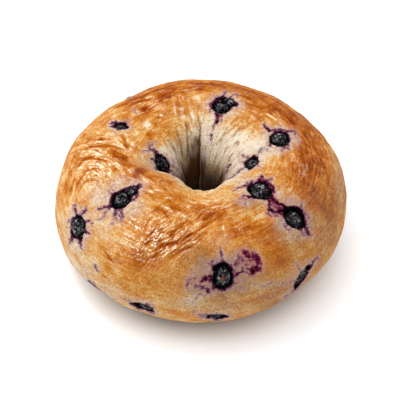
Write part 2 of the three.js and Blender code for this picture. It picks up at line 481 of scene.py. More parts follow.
HOLE_RANGE = (100, 150, 230, 260)
CROWN_RANGE = (12, 55, 105, 140)
SIDE_RANGE = (15, 62, 300, 345)
SOLE_RANGE = (235, 262, 285, 310)
hole = between(over, HOLE_RANGE)
crown = between(over, CROWN_RANGE)
side = np.where(over > 180, step(over, *SIDE_RANGE[2:]), 1 - step(over, *SIDE_RANGE[:2]))

# Crests that shine in the picture, raised, and painted lighter with a painted sheen and glints: height,
# width, and the line that each follows
CRESTS = [
    # arcs on the left
    (0.6, 7, (80, 200), (86, 190), (94, 187), (101, 192)),
    (0.7, 5, (81, 185), (85, 175), (92, 172), (99, 175)),
    (0.8, 4, (79, 174), (84, 166), (92, 162), (100, 164)),
    (1.0, 5, (82, 155), (88, 152), (96, 150)),
    (1.0, 5, (99, 152), (107, 151)),
    (0.9, 2.5, (84, 144.5), (93, 142.5), (103, 141), (111, 142.5)),
    (0.7, 2, (95, 137), (106, 135), (114, 133)),
    (1.0, 3.5, (112, 137), (117, 142), (122, 147), (128, 154)),
    (1.0, 3, (127, 138), (130, 142), (134, 145)),
    (0.9, 3, (114, 150), (117, 153)),
    (0.9, 4, (107, 156), (114, 162), (119, 168), (123, 174)),
    (0.9, 5, (104, 168), (110, 173), (115, 179)),
    (0.7, 4, (129, 168), (134, 173)),
    (0.6, 2.5, (75, 183), (73, 193), (71.5, 201)),
    (0.5, 2, (78, 164), (74, 172), (71, 181)),
    # right of the berry on the left crown, up to the lip of the hole
    (0.8, 1.5, (127, 177), (134, 180)),
    (0.6, 3, (138, 176), (147, 180), (156, 186)),
    (0.6, 2.5, (146, 190), (155, 192), (163, 190)),
    # ridges in front
    (1.0, 2.4, (162, 257), (171, 250), (181, 243.5)),
    (0.6, 1.4, (165, 243), (172, 238)),
    (0.9, 2.8, (174, 240), (181, 233), (189, 227)),
    (1.0, 2.6, (166, 234), (170, 227), (175, 220)),
    (1.0, 2.8, (185, 248), (191, 242), (199, 237)),
    (0.7, 1.5, (175, 261), (180, 256), (185, 251)),
    (0.8, 2.2, (186, 253), (191, 250)),
    (0.7, 1.4, (194, 248), (199, 243), (204, 238)),
    (0.8, 2.0, (190, 230), (196, 225), (203, 220)),
    (0.7, 2.4, (196, 234), (201, 230), (207, 226)),
    (0.6, 1.3, (156, 263), (165, 257)),
    (0.6, 1.3, (147, 267), (154, 262)),
    (0.8, 2.8, (155, 199), (163, 206), (174, 215)),
    (0.7, 4.5, (177, 213), (184, 217), (189, 219)),
    (0.6, 1.4, (177, 203), (173, 211)),
    (0.6, 1.8, (165, 197.5), (174, 198.5)),
    (0.6, 1.5, (183, 200), (191, 209)),
    (0.7, 1.5, (195, 201), (207, 200.5), (219, 200.5)),
    (0.5, 2.4, (150, 224), (156, 214)),
    (0.5, 2.4, (140, 236), (147, 226)),
    (0.5, 2.4, (152, 243), (160, 233)),
    (0.5, 2.4, (136, 248), (145, 240)),
    (0.5, 2.4, (128, 234), (133, 226)),
    (0.6, 2.0, (222.5, 224), (224, 231), (225.5, 238)),
    (0.5, 1.6, (222, 219), (236, 213), (250, 207)),
    # back crown
    (0.7, 1.8, (144, 98), (156, 95.5)),
    (0.8, 2.2, (168, 93), (176, 100)),
    (0.7, 4, (158, 104), (168, 107)),
    (0.6, 1.4, (155, 91), (163, 90)),
    (0.6, 2.2, (173, 108), (177, 116)),
    (0.9, 1.8, (192, 111), (193, 118), (193.5, 126)),
    (0.7, 3.4, (198, 93), (198.5, 103)),
    (0.6, 3, (187, 98), (191, 104)),
    (0.8, 1.5, (123, 132), (130, 136.5)),
    (0.9, 2.6, (126, 140), (135, 145.5)),
    (0.9, 2.4, (113, 141), (120, 146)),
    (0.6, 1.4, (129, 150), (134, 149)),
    (0.8, 2.2, (160, 113), (162, 120)),
    (0.6, 1.6, (137, 104), (147, 101)),
    (0.5, 1.6, (100, 126), (112, 117), (126, 112)),
    (0.5, 1.4, (226, 92), (238, 97), (247, 104)),
    (0.5, 1.6, (240, 110), (248, 113), (254, 118)),
    (0.5, 1.6, (262, 112), (274, 118), (284, 126)),
]

# Furrows between them, sunk, and painted darker as shade in them: depth, width, and line
FURROWS = [
    (0.8, 1.8, (78, 192), (81, 186), (87, 181), (93, 180), (99, 183)),
    (0.9, 1.8, (76, 190), (79, 180), (86, 171), (93, 168.5), (98, 170)),
    (0.8, 1.8, (104, 167.5), (110, 166), (117, 169), (120, 173)),
    (1.0, 2.6, (76, 167), (82, 160), (91, 157), (101, 159), (109, 163)),
    (0.9, 2.0, (80, 149.5), (88, 146.5), (97, 145.5), (108, 145.5), (114, 148)),
    (0.8, 1.6, (85, 141), (94, 139), (104, 138), (112, 139.5)),
    (1.0, 4, (121, 134), (125, 141), (128, 148)),
    (1.0, 6, (107, 149), (115, 154.5), (122, 156), (127, 160)),
    (1.0, 4.5, (122, 162), (129, 165), (134, 166)),
    (0.5, 3.5, (133, 172), (142, 170.5)),
    (0.5, 2.5, (71, 162), (67, 176), (65, 188), (66, 198)),
    (0.7, 1.6, (77.5, 149), (72, 158), (68, 170), (64, 184)),
    (0.7, 1.6, (86, 134), (78, 143), (73, 152)),
    (0.6, 1.4, (96, 124), (86, 131), (79, 139)),
    (0.7, 2, (74, 176), (72, 186), (70, 198)),
    # ridges in front
    (1.0, 2.8, (152, 251), (162, 246), (172, 243), (179, 239)),
    (1.0, 2.6, (180, 241), (191, 234.5), (202, 227.5), (209, 223)),
    (1.0, 3.0, (166, 261), (174, 256), (184, 249), (193, 246)),
    (1.0, 3.4, (169, 236), (176, 230), (184, 224)),
    (0.9, 2.0, (193, 240), (201, 235), (208, 230)),
    (0.8, 1.6, (150, 204), (157, 208), (165, 214), (170, 221)),
    (0.7, 1.3, (160, 195.5), (170, 196), (179, 197.5), (183, 201)),
    (0.9, 5, (169, 202), (176, 207), (181, 211)),
    (0.7, 2, (144, 230), (150, 219)),
    (0.7, 2, (147, 238), (156, 228)),
    (0.7, 2, (144, 246), (153, 239)),
    (0.8, 3, (103, 249), (108, 256), (113, 263)),
    (0.8, 2.4, (150, 258), (160, 252)),
    (0.6, 1.5, (204, 221), (209, 216), (217, 212)),
    (0.6, 1.3, (221, 238), (220.5, 246), (221, 255)),
    # back crown and top edge
    (0.9, 2.0, (112, 109), (122, 103), (138, 96), (157, 89), (176, 84)),
    (0.7, 1.6, (128, 106), (141, 100), (152, 98)),
    (0.9, 4.5, (157, 97), (165, 95), (172, 96)),
    (0.9, 5, (141, 108), (147, 110)),
    (0.7, 4, (156, 117), (163, 118)),
    (0.6, 1.6, (180, 92), (200, 88), (216, 90)),
    (0.9, 1.8, (196, 81), (224, 82.5), (250, 89), (272, 98), (290, 111), (304, 124)),
    (0.7, 1.6, (232, 85.5), (250, 90), (265, 97)),
    (0.8, 2.6, (246, 103), (262, 108), (274, 114)),
    (0.7, 2.2, (268, 104), (284, 114), (297, 126)),
    (0.7, 2.0, (284, 122), (298, 134), (307, 146)),
    (0.6, 1.6, (300, 128), (314, 148), (325, 170), (330, 190)),
    (0.6, 1.4, (308, 136), (321, 158), (329, 178)),
    # cracks down the back wall of the hole
    (0.6, 1.0, (249, 116), (241, 134), (236, 146)),
    (0.5, 1.0, (243, 112), (236, 124), (231, 136)),
    (0.6, 1.0, (253.5, 121), (254, 134), (253, 146)),
    (0.5, 1.0, (236, 116), (229, 128), (225, 142)),
    # low streaks
    (0.6, 3.5, (240, 303), (258, 299), (275, 294), (292, 286)),
    (0.5, 2.2, (262, 308), (280, 302), (296, 292)),
    (0.5, 2.0, (118, 282), (132, 292), (148, 300), (168, 305)),
    (0.5, 1.6, (100, 272), (112, 284), (126, 294)),
    (0.4, 1.6, (96, 282), (108, 293), (120, 301)),
    (0.6, 1.2, (88, 281), (99, 292), (112, 301)),
]

warped = rough(base, 1.9, 401, 2)


def drawn(lines, widening, warp, inner, outer, end_share):
    """Heights of the drawn lines, frayed from inner to outer half widths and lower at their ends."""
    heights = np.zeros(len(base))
    for height, width, *line in lines:
        chosen, gap, _, share = stroke(line, width * widening)
        ends = step(share, -0.05, 0.2) * (1 - step(share, 0.8, 1.05))
        value = height * (1 - step(gap + warp * warped[chosen], inner, outer))
        value *= (end_share + (1 - end_share) * ends) * shown[chosen]
        heights[chosen] = np.maximum(heights[chosen], value)
    return heights


crests = drawn(CRESTS, widening=1.15, warp=0.55, inner=0.25, outer=1.75, end_share=0.35)
furrows = drawn(FURROWS, widening=0.95, warp=-0.5, inner=0.2, outer=1.9, end_share=0.3)

# Fine lines between the drawn ones: distance across them, spacing, and the patch where they show
FINE_LINES = (
    (arc_distance, 4.6, (0.75, 30, 30, 0, 100, 162)),
    (ridge_across, 4.2, (0.80, 36, 20, 25, 176, 238)),
)
for number, (distance, spacing, patch) in enumerate(FINE_LINES):
    wave = np.sin(2 * np.pi * distance / spacing + 2.4 * rough(base, 5, 421 + number, 2))
    broken = summed([patch]) * step(rough(base, 2.6, 431 + number, 2), -0.35, 0.35)
    crests = np.maximum(crests, broken * step(wave, 0, 1))
    furrows = np.maximum(furrows, broken * step(-wave, 0.2, 1))

# Softer ridges elsewhere: a middle, a reach, the point that they bend round, a spacing and a height
RIDGES = [
    ((118, 84), 14, (100, 20), 2.6, 0.12),
    ((62, 78), 13, (20, 40), 2.6, 0.12),
    ((5, 76), 16, (350, 150), 2.8, 0.12),
    ((100, 50), 16, (80, 120), 3.0, 0.26),
    ((60, 40), 16, (20, 100), 3.0, 0.26),
    ((140, 40), 14, (160, 120), 2.8, 0.26),
    ((24, 30), 15, (350, 110), 2.8, 0.24),
]
BEND = 1.5
bend = BEND * np.stack([rough(base, 6, 11), rough(base, 6, 21), rough(base, 6, 31)], -1)
ridges = np.zeros(len(base))
for number, (middle, reach, pivot, spacing, height) in enumerate(RIDGES):
    near = bell(from_place(middle) / reach)
    ahead, inward, out = axes_at(*middle)
    offset = base + bend - crust(*pivot)
    distance = np.hypot(offset @ ahead, offset @ inward)
    wave = np.abs(np.sin(np.pi * distance / spacing + number)) ** 0.7
    broken = step(rough(base, 3.4, 41 + number, 2), -0.55, 0.25)
    ridges += height * near * (wave - 0.7) * broken
    furrows = np.maximum(furrows, 2.6 * height * near * (1 - step(wave, 0.2, 0.7)) * broken)

# Streaks that follow the ring on its outer sides, and fine upright creases in the hole
girth = turn_between(over, 0) / 360 * SECTION_GIRTH
ring_ways = np.concatenate([round_ring * RING_RADIUS / 8, (girth / 1.2)[:, None]], 1)
streaks = (rough(ring_ways, 1, 61, 2) + 0.6 * rough(ring_ways * (0.6, 0.6, 2), 1, 65, 2)) * side
depth = over / 360 * SECTION_GIRTH
hole_ways = np.concatenate([round_ring * 8, (depth / 8)[:, None]], 1)
creases = (rough(hole_ways, 1, 71, 2) + 0.7 * rough(hole_ways * (2, 2, 1), 1, 75, 2)) * hole

# The relief of the crust, with the rise of the crests, their pebbles, and the furrows' depth
CREST_RISE = 0.26
CREST_PEBBLES = 0.16
FURROW_SINK = 0.26
lumps = 0.28 * rough(base, 9, 81, 2) + 0.10 * rough(base, 3.5, 84, 2) - flattening(around, over)
blisters = step(rough(base, 2.1, 99, 2), 0.3, 0.75)
flaky = 1 - 2.2 * np.abs(rough(base, 1.7, 91, 2))
fine_relief = crown * (0.08 * flaky + 0.10 * blisters) + 0.16 * streaks + 0.24 * creases
pebbles = CREST_RISE + CREST_PEBBLES * rough(base, 0.9, 441, 2)
relief = lumps + ridges + fine_relief + pebbles * crests - FURROW_SINK * furrows

# Pockets round the berries, with uneven lips, and how far each point of the crust is from a rim

stain_and_pocket_shade, halo, magenta, pocket = np.zeros((4, len(base)))

# The lip round a pocket: its rise, how far outside the rim it is highest, and its half width
LIP_RISE = 0.16
LIP_OUT = 0.9
LIP_WIDTH = 0.7

# Juice close round the hidden berries, the others and the slits: its reach in millimetres, number
# of tendrils, share of magenta, and reach of the pale halo. What ran further is drawn below.
HIDDEN_JUICE = (3.4, 8, 0.4, 4)
RIM_JUICE = (1.1, 6, 0.25, 2.6)
SLIT_JUICE = (1.5, 6, 0.25, 1.6)

# Berries that are little more than a slit: how far the crust covers them, in millimetres along and
# across, how far they lie under it, and how black they are
OPEN = (0.1, 0.1, 0, 0)
SLITS = {
    "berry_far_left": (0.3, 0.8, 0.4, 0.9),
    "berry_hole_right": (0.3, 0.4, 0.2, 0.5),
    "berry_hole_left": (0.4, 0.5, 0.2, 0.1),
    "berry_right_low": (0.2, 0.7, 0.5, 0.6),
    "berry_near_low": (0.3, 0.7, 0.6, 0.8),
    "berry_near_left_low": (0.3, 0.7, 0.6, 0.7),
}


def rim_distance(x, y, size, cover, number):
    """Millimetres outside the rim of a pocket for a berry of that size, less than 0 inside."""
    a, b = x / (size[0] / 2 - cover[0]), y / (size[1] / 2 - cover[1])
    angle = np.arctan2(b, a)
    compass = np.stack([2.1 * np.cos(angle), 2.1 * np.sin(angle), np.full_like(a, number)], 1)
    return (np.hypot(a, b) - 1 - 0.13 * noise(compass, 7)) * (size[0] + size[1]) / 4


def shapes_of(berry):
    """The ball of a berry and its fold: way ahead and inward, size and turn of each."""
    return [(0, 0, berry[2], berry[4])] + ([berry[5]] if berry[5] else [])


# Crust that lies farther than this along the way out of a berry is another side of the ring
SAME_SIDE = 7
FAR_OFF = 99

for number, (name, berry) in enumerate(BERRIES.items()):
    reach, tendrils, red, pale = SLIT_JUICE if name in SLITS else RIM_JUICE
    if name in HIDDEN_BERRIES:
        reach, tendrils, red, pale = HIDDEN_JUICE
    offset = base - crust(*berry[:2])
    off_ahead, off_inward, off_out = (offset @ axis for axis in axes_at(*berry[:2]))
    near = np.abs(off_out) < SAME_SIDE
    rim = np.full(len(base), FAR_OFF)
    for ahead_by, inward_by, size, shape_turn in shapes_of(berry):
        x, y = rotated(off_ahead - ahead_by, off_inward - inward_by, -shape_turn)
        gap = rim_distance(x, y, size, SLITS.get(name, OPEN), number)
        rim = np.minimum(rim, np.where(near, gap, FAR_OFF))
    pocket = np.maximum(pocket, 1 - step(rim, -0.55, 0.25))
    lip = bell((rim - LIP_OUT) / LIP_WIDTH)
    relief += LIP_RISE * lip * (0.4 + noise(base / 1.6, 140 + number))
    angle = np.arctan2(off_inward, off_ahead)
    compass = np.stack([np.cos(angle), np.sin(angle), np.full_like(angle, 0.37 * number)], 1)
    rays = step(noise(compass * (tendrils / 3, tendrils / 3, 1), 151), -0.15, 0.7)
    wobble = 0.45 * rough(base, 1.8, 161 + number, 2)
    length = reach * (0.45 + 0.85 * rays)
    strength = 1.05 - (np.maximum(rim, 0) + wobble * step(rim, 0, 1)) / length
    # Inside a pocket the stain is full, as dark juice and as painted shade in the gap round the berry
    stain_and_pocket_shade = np.maximum(stain_and_pocket_shade, np.where(rim < 0, 1, np.clip(strength, 0, 1)))
    magenta = np.maximum(magenta, red * bell(rim / (reach * 1.4)))
    ragged = rim - 0.5 + 1.6 * rough(base, 2.4, 471 + number, 2)
    halo = np.maximum(halo, bell(np.maximum(ragged, 0) / pale))

# Juice that ran out of the berries: strength, share of magenta, width at the start and the end,
# and the line that it follows
JUICE = [
    # berry_back
    (1.00, 0.1, 4, 3, (214, 106), (217, 100), (223, 98), (229, 100)),
    (0.80, 0.3, 3, 1, (222, 98), (224.5, 91.5)),
    (0.65, 0.3, 2.5, 0.8, (228, 98), (232, 94.5), (237, 93)),
    (0.90, 0.5, 3.5, 1.5, (230, 101), (234, 103), (237, 105.5)),
    (0.50, 0.3, 2, 1, (218, 98), (214, 95)),
    (0.60, 0.5, 3, 2.5, (213, 102), (210, 104), (209.5, 110)),
    (0.95, 0.1, 3, 1.6, (217, 111), (218, 117), (216.5, 122)),
    (0.50, 0.0, 1.4, 1, (216.5, 122), (213, 127), (212, 133)),
    (0.45, 0.7, 4, 2, (221, 113), (221, 121)),
    (0.62, 0.2, 3, 2, (211, 135), (211, 141)),
    (0.28, 0.2, 2, 1.5, (210, 141), (209.5, 152)),
    # berry_right_back
    (0.80, 0.4, 3.4, 1.5, (270, 131), (266, 126.5), (264, 124)),
    (0.70, 0.5, 2.4, 2.4, (268, 130), (278, 129), (288, 131)),
    (0.70, 0.4, 3, 0.8, (288, 131.5), (295, 131.5), (296, 134)),
    (0.26, 0.0, 5, 3, (295, 135), (297, 142)),
    (0.70, 0.3, 3, 1, (271.5, 143), (270, 147.5)),
    (0.40, 0.2, 1.4, 1, (268, 147), (267, 151)),
    (0.65, 0.3, 3, 2, (288, 143), (289, 148)),
    (0.55, 0.4, 4, 2.6, (285, 146), (282, 151.5)),
    # berry_hole_right
    (0.50, 0.2, 2, 1.4, (248, 158), (244, 155), (241, 157)),
    (0.45, 0.2, 1.6, 1.2, (256, 157), (260, 153), (262, 150), (266, 148)),
    (0.60, 0.2, 1.8, 1.8, (261.5, 150.5), (262.5, 151)),
    (0.30, 0.2, 2.4, 1, (245, 163), (240, 161)),
    (0.60, 0.1, 1.2, 0.7, (246, 168), (240, 170), (236, 174), (231, 178)),
    (0.45, 0.3, 1.6, 1, (256, 165), (261, 166.5)),
    (0.60, 0.1, 1.4, 3, (230, 165), (227, 169), (226, 172)),
    (0.40, 0.1, 1.5, 0.8, (226, 172), (224, 178)),
    (0.35, 0.2, 1.2, 0.8, (231, 164), (235, 158)),
    (0.25, 0.3, 2, 1.2, (239, 154), (244, 153), (247, 156)),
    # berry_hole_left
    (0.95, 0.2, 3, 1.6, (158, 157), (155, 153)),
    (0.50, 0.3, 5, 3.5, (155, 153), (151, 149), (150, 144)),
    (0.50, 0.3, 2.6, 1.4, (150, 150), (143, 151)),
    (0.32, 0.3, 3, 1.2, (152, 145), (157, 143)),
    (0.65, 0.1, 2.4, 2, (151, 159), (155, 161)),
    (0.65, 0.1, 1.8, 1.2, (161, 170), (155, 168.5)),
    (0.55, 0.3, 2.6, 0.8, (169, 165), (175, 166)),
    (0.60, 0.2, 3, 1.6, (171, 171), (175, 177)),
    (0.25, 0.2, 4, 3, (172, 160), (177, 170)),
    # berry_far_left
    (0.70, 0.2, 1.6, 3, (109.5, 124.5), (114, 123), (120, 123)),
    (0.80, 0.1, 2.4, 3, (117, 123), (123, 124)),
    (0.40, 0.2, 1.6, 0.8, (119, 128), (117, 132)),
    (0.60, 0.7, 2.4, 1.5, (125, 122), (127, 127)),
    (0.28, 0.3, 3, 1.5, (127, 123), (131, 120)),
    # berry_left_top
    (0.95, 0.3, 2.6, 3, (124, 189.5), (131, 187.5), (137, 188)),
    (0.85, 0.5, 3, 1.4, (136, 188), (139, 184.5), (141, 186)),
    (0.55, 0.4, 1.6, 1, (134, 186), (131, 183)),
    (0.85, 0.5, 3, 1.8, (135, 191), (136.5, 196), (134, 200)),
    (0.45, 0.3, 2, 1, (113, 191), (111, 187), (114, 184)),
    (0.65, 0.4, 2, 1, (112, 195), (109, 192)),
    (0.80, 0.3, 3, 1.2, (112, 205.5), (108, 207.5), (103, 208), (98, 210)),
    (0.48, 0.3, 2, 1.4, (110, 209), (105, 214), (102, 218), (98, 220)),
    (0.45, 0.3, 7, 7, (117, 208), (118, 215), (118.5, 219)),
    (0.85, 0.2, 1.6, 1, (115, 209), (114.5, 215)),
    (0.70, 0.3, 1.6, 1.8, (120.5, 208), (121.5, 214), (122.5, 219)),
    (0.48, 0.3, 2.6, 0.8, (116, 218), (113, 222), (111, 227)),
    (0.45, 0.3, 1.8, 0.8, (121, 219), (122.5, 224)),
    # berry_left_side
    (0.80, 0.3, 3, 0.8, (77.5, 217), (76, 210), (74.5, 205.5)),
    (0.60, 0.3, 2.4, 0.8, (81, 217), (84, 212), (86.5, 207)),
    (0.35, 0.2, 1.4, 1, (84, 213), (88, 210)),
    (0.65, 0.5, 2.4, 1.2, (83, 222), (88, 221), (92.5, 223.5)),
    (0.80, 0.4, 3.4, 1, (83, 229), (86.5, 232), (89, 233)),
    (0.80, 0.3, 2.6, 0.8, (78, 238), (80, 243), (81.5, 249)),
    (0.35, 0.2, 0.9, 0.7, (80.5, 247), (84, 248)),
    (0.80, 0.4, 3, 0.9, (72, 235), (70, 239), (69, 244)),
    (0.60, 0.3, 2.4, 0.8, (71, 222), (67, 220.5)),
    (0.45, 0.2, 1.6, 0.8, (82, 236), (87, 236)),
    # berry_right_lip and the bridge to berry_right_top
    (0.95, 0.5, 3.6, 1.5, (252, 197), (248, 197.5), (244.5, 196)),
    (0.45, 0.7, 1.5, 1.3, (246, 200), (240, 199), (241, 203), (246, 204.5)),
    (0.60, 0.5, 3, 0.7, (250, 187.5), (245, 186), (240, 187), (232.5, 190.5)),
    (0.40, 0.4, 2, 0.8, (247, 183), (241, 186)),
    (0.90, 0.4, 3.4, 2, (249, 186), (252.5, 181.5)),
    (0.85, 0.7, 4, 1.5, (258, 183), (260, 178.5), (262.5, 176.5)),
    (0.70, 0.8, 4, 1, (261, 181), (268, 180.5), (272.5, 177.5)),
    (0.80, 0.7, 4, 2.4, (266, 183), (272, 186), (273.5, 191)),
    (0.85, 0.8, 4, 2.6, (269, 192), (273, 198), (277.5, 202)),
    (0.56, 0.9, 11, 10, (271, 195), (275, 204), (281, 210)),
    (0.90, 0.5, 2, 1.8, (268, 196), (269.5, 203), (270, 208), (273, 212)),
    (0.88, 0.6, 3, 2.6, (270, 210.5), (275, 212.5), (281, 211.5)),
    (0.50, 0.8, 1.6, 1.2, (268, 213), (271, 216.5), (277, 216.5)),
    (0.92, 0.5, 3, 3, (277, 203.5), (282, 205.5), (286, 208)),
    (1.00, 0.1, 3.4, 4.5, (280, 211), (285, 210), (292, 209)),
    # berry_right_top
    (1.00, 0.1, 4.5, 3.5, (286, 210.5), (294, 208.5), (301, 211)),
    (0.95, 0.3, 3.4, 3, (301, 212), (304, 218), (304, 224)),
    (0.55, 0.3, 3, 1, (300, 208), (302, 204), (304.5, 202.5)),
    (0.48, 0.2, 3, 1, (304, 215), (309, 215), (310, 219)),
    (0.45, 0.3, 2, 0.8, (303, 212), (308, 213)),
    (0.90, 0.3, 3.2, 2, (303, 224), (306, 229), (309, 235.5)),
    (0.45, 0.5, 1.8, 0.8, (309, 235.5), (313.5, 236.5)),
    (0.45, 0.3, 6, 5, (302, 228), (305, 238)),
    (0.60, 0.3, 3.4, 1.8, (286.5, 224), (286, 229), (289.5, 231.5)),
    (0.38, 0.2, 3.4, 2, (283, 216), (284, 225)),
    (0.34, 0.3, 5, 1.2, (286, 205), (291, 202), (293.5, 199)),
    # berry_front
    (1.00, 0.1, 5, 5, (214, 268), (220, 264.5), (227, 265), (231, 269)),
    (0.75, 0.2, 2.4, 0.8, (223, 263), (221.5, 257), (220, 249)),
    (0.75, 0.2, 3, 1.2, (215, 267), (211, 265), (212, 261)),
    (0.42, 0.2, 2.2, 0.8, (211, 266), (206, 262), (203, 262), (199, 259)),
    (0.88, 0.6, 9, 4, (212, 278.5), (206, 279), (201, 281)),
    (0.45, 0.3, 5, 4, (193, 278), (188, 281), (188, 288)),
    (0.72, 0.4, 5, 3, (208, 291), (202, 288), (195, 286)),
    (0.80, 0.4, 5, 4, (214, 287), (219, 288)),
    (0.48, 0.2, 1.5, 1, (198, 295), (206, 295), (212, 293)),
    (0.40, 0.1, 1, 0.8, (197, 296), (197, 301)),
    (0.30, 0.2, 3, 2, (190, 287), (188, 283)),
    (0.90, 0.3, 3.4, 2, (217, 287), (212.5, 287)),
    (0.80, 0.5, 3.4, 1.8, (231, 274), (237, 274), (243.5, 271.5)),
    (0.55, 0.5, 1.6, 0.9, (243, 272), (242, 268), (247, 265)),
    (0.65, 0.3, 3.4, 2, (232, 282), (232.5, 288)),
    (0.34, 0.3, 9, 7, (233, 268), (238, 262), (240, 256)),
    (0.50, 0.3, 1.6, 0.9, (235, 266), (238, 259), (237, 253)),
    (0.50, 0.4, 1.6, 1, (238, 256), (243, 260)),
    (0.78, 1.0, 7, 6, (244.5, 252), (249, 255), (255, 257), (258, 260)),
    (0.72, 1.0, 4, 3, (257, 257), (259, 260), (261.5, 263)),
    (0.36, 1.0, 5, 5, (247, 260), (255, 261)),
    (0.88, 1.0, 9, 8, (252, 271), (256, 270), (259, 268)),
    (0.40, 0.9, 9, 7, (252, 264), (256, 266)),
    (0.45, 0.6, 3, 2, (247, 269), (253, 276)),
    (0.35, 0.2, 1.4, 0.8, (236, 283), (243, 280), (247, 281)),
    (0.40, 0.1, 1.2, 1, (242, 290), (243.5, 292)),
    # berry_right_low
    (0.90, 0.1, 1.8, 6, (296, 289), (301, 282), (306, 273)),
    (0.75, 0.3, 3.4, 1.2, (309, 269), (313, 262.5), (318.5, 256.5)),
    (0.55, 0.2, 2.4, 0.9, (303, 273), (299, 267), (297, 261.5)),
    (0.50, 0.2, 2.2, 1, (302, 278), (295, 280), (289, 282)),
    (0.42, 0.1, 2, 1, (284, 283), (278, 283.5)),
    (0.40, 0.1, 1.2, 0.8, (273, 282), (270, 284.5)),
    (0.34, 0.1, 1, 0.8, (266, 286.5), (256, 286.5)),
    (0.70, 0.1, 1.4, 0.6, (297, 288.5), (290, 293.5), (284, 297.5)),
    # berry_near_left_low
    (0.85, 0.2, 1.6, 3, (130, 303.5), (136, 307.5), (141, 310)),
    (0.80, 0.2, 2.6, 2.2, (143, 306.5), (147, 306), (150.5, 309.5)),
    (0.60, 0.2, 2.4, 0.8, (149, 312), (154, 316)),
    (0.34, 0.2, 4.5, 2, (132, 303.5), (124, 300)),
    (0.30, 0.2, 4, 3, (147, 303), (155, 309)),
    (0.90, 0.1, 3, 3, (138, 308.5), (145, 310), (150, 311.5)),
    # berry_near_low
    (0.45, 0.1, 2.4, 1.6, (209, 318.5), (203, 318), (199, 318)),
    (0.75, 0.1, 1.8, 1, (221, 319), (227, 316)),
    (0.40, 0.2, 5, 4, (200, 316), (214, 316), (226, 315)),
    (0.90, 0.1, 3, 3, (210, 318), (217, 319.5), (224, 318)),
    (0.35, 0.1, 1, 0.8, (229, 315), (231, 313.5)),
    # small marks
    (0.75, 0.0, 2.4, 1.4, (95.5, 266), (97.5, 270)),
    (0.60, 0.0, 1.6, 1.6, (192, 313), (194, 313)),
    (0.38, 0.0, 1, 0.8, (188, 301), (194, 304)),
    (0.38, 0.7, 3, 1.6, (134, 110), (137, 113)),
    (0.75, 0.0, 1.2, 0.8, (88, 281), (99, 292), (112, 301)),
]

# Soft washes of juice in the dough: share, share of magenta, reach across and down, and middle
WASHES = [
    (0.3, 0.5, 17, 12, 242, 264), (0.26, 0.3, 15, 11, 200, 277), (0.38, 0.2, 24, 14, 222, 274),
    (0.24, 0.4, 12, 10, 250, 262), (0.22, 0.1, 16, 7, 200, 288), (0.22, 0.1, 18, 6, 262, 284),
    (0.3, 0.2, 12, 8, 298, 278), (0.26, 0.1, 10, 6, 300, 292), (0.24, 0.2, 10, 9, 290, 202),
    (0.26, 0.1, 11, 9, 284, 224), (0.24, 0.3, 8, 12, 306, 226), (0.22, 0.5, 8, 12, 276, 204),
    (0.22, 0.3, 10, 6, 244, 200), (0.22, 0.2, 12, 6, 243, 166), (0.22, 0.2, 8, 6, 276, 150),
    (0.26, 0.2, 9, 8, 116, 214), (0.22, 0.2, 12, 5, 103, 212), (0.22, 0.2, 8, 7, 76, 240),
    (0.18, 0.2, 8, 6, 80, 210), (0.22, 0.2, 7, 7, 152, 150), (0.22, 0.2, 6, 9, 174, 170),
    (0.22, 0.2, 6, 8, 217, 118), (0.18, 0.1, 5, 12, 211, 138), (0.2, 0.2, 10, 5, 148, 304),
    (0.2, 0.1, 12, 4, 222, 315),
]
mottle = 0.75 + 0.45 * rough(base, 1.5, 461, 3)
for amount, red, reach_x, reach_y, x, y in WASHES:
    wash = blotch(x, y, reach_x, reach_y, 0)
    stain_and_pocket_shade = np.maximum(stain_and_pocket_shade, amount * wash * mottle)
    magenta = np.maximum(magenta, red * wash)

fray = rough(base, 1.1, 405, 2)
JUICE_WIDTH = 0.85
for strength, red, width, end_width, *line in JUICE:
    chosen, gap, half, share = stroke(line, JUICE_WIDTH * width, JUICE_WIDTH * end_width)
    beyond = np.maximum((gap - 0.35) * half + 0.55 * fray[chosen], 0)
    fading = strength * (1 - 0.15 * share)
    value = fading * np.exp(-((beyond / (0.55 * half + 1.3)) ** 1.3)) * shown[chosen]
    stain_and_pocket_shade[chosen] = np.maximum(stain_and_pocket_shade[chosen], value) + 0.25 * np.minimum(stain_and_pocket_shade[chosen], value)
    magenta[chosen] = np.maximum(magenta[chosen], red * bell(beyond / (half + 3)))
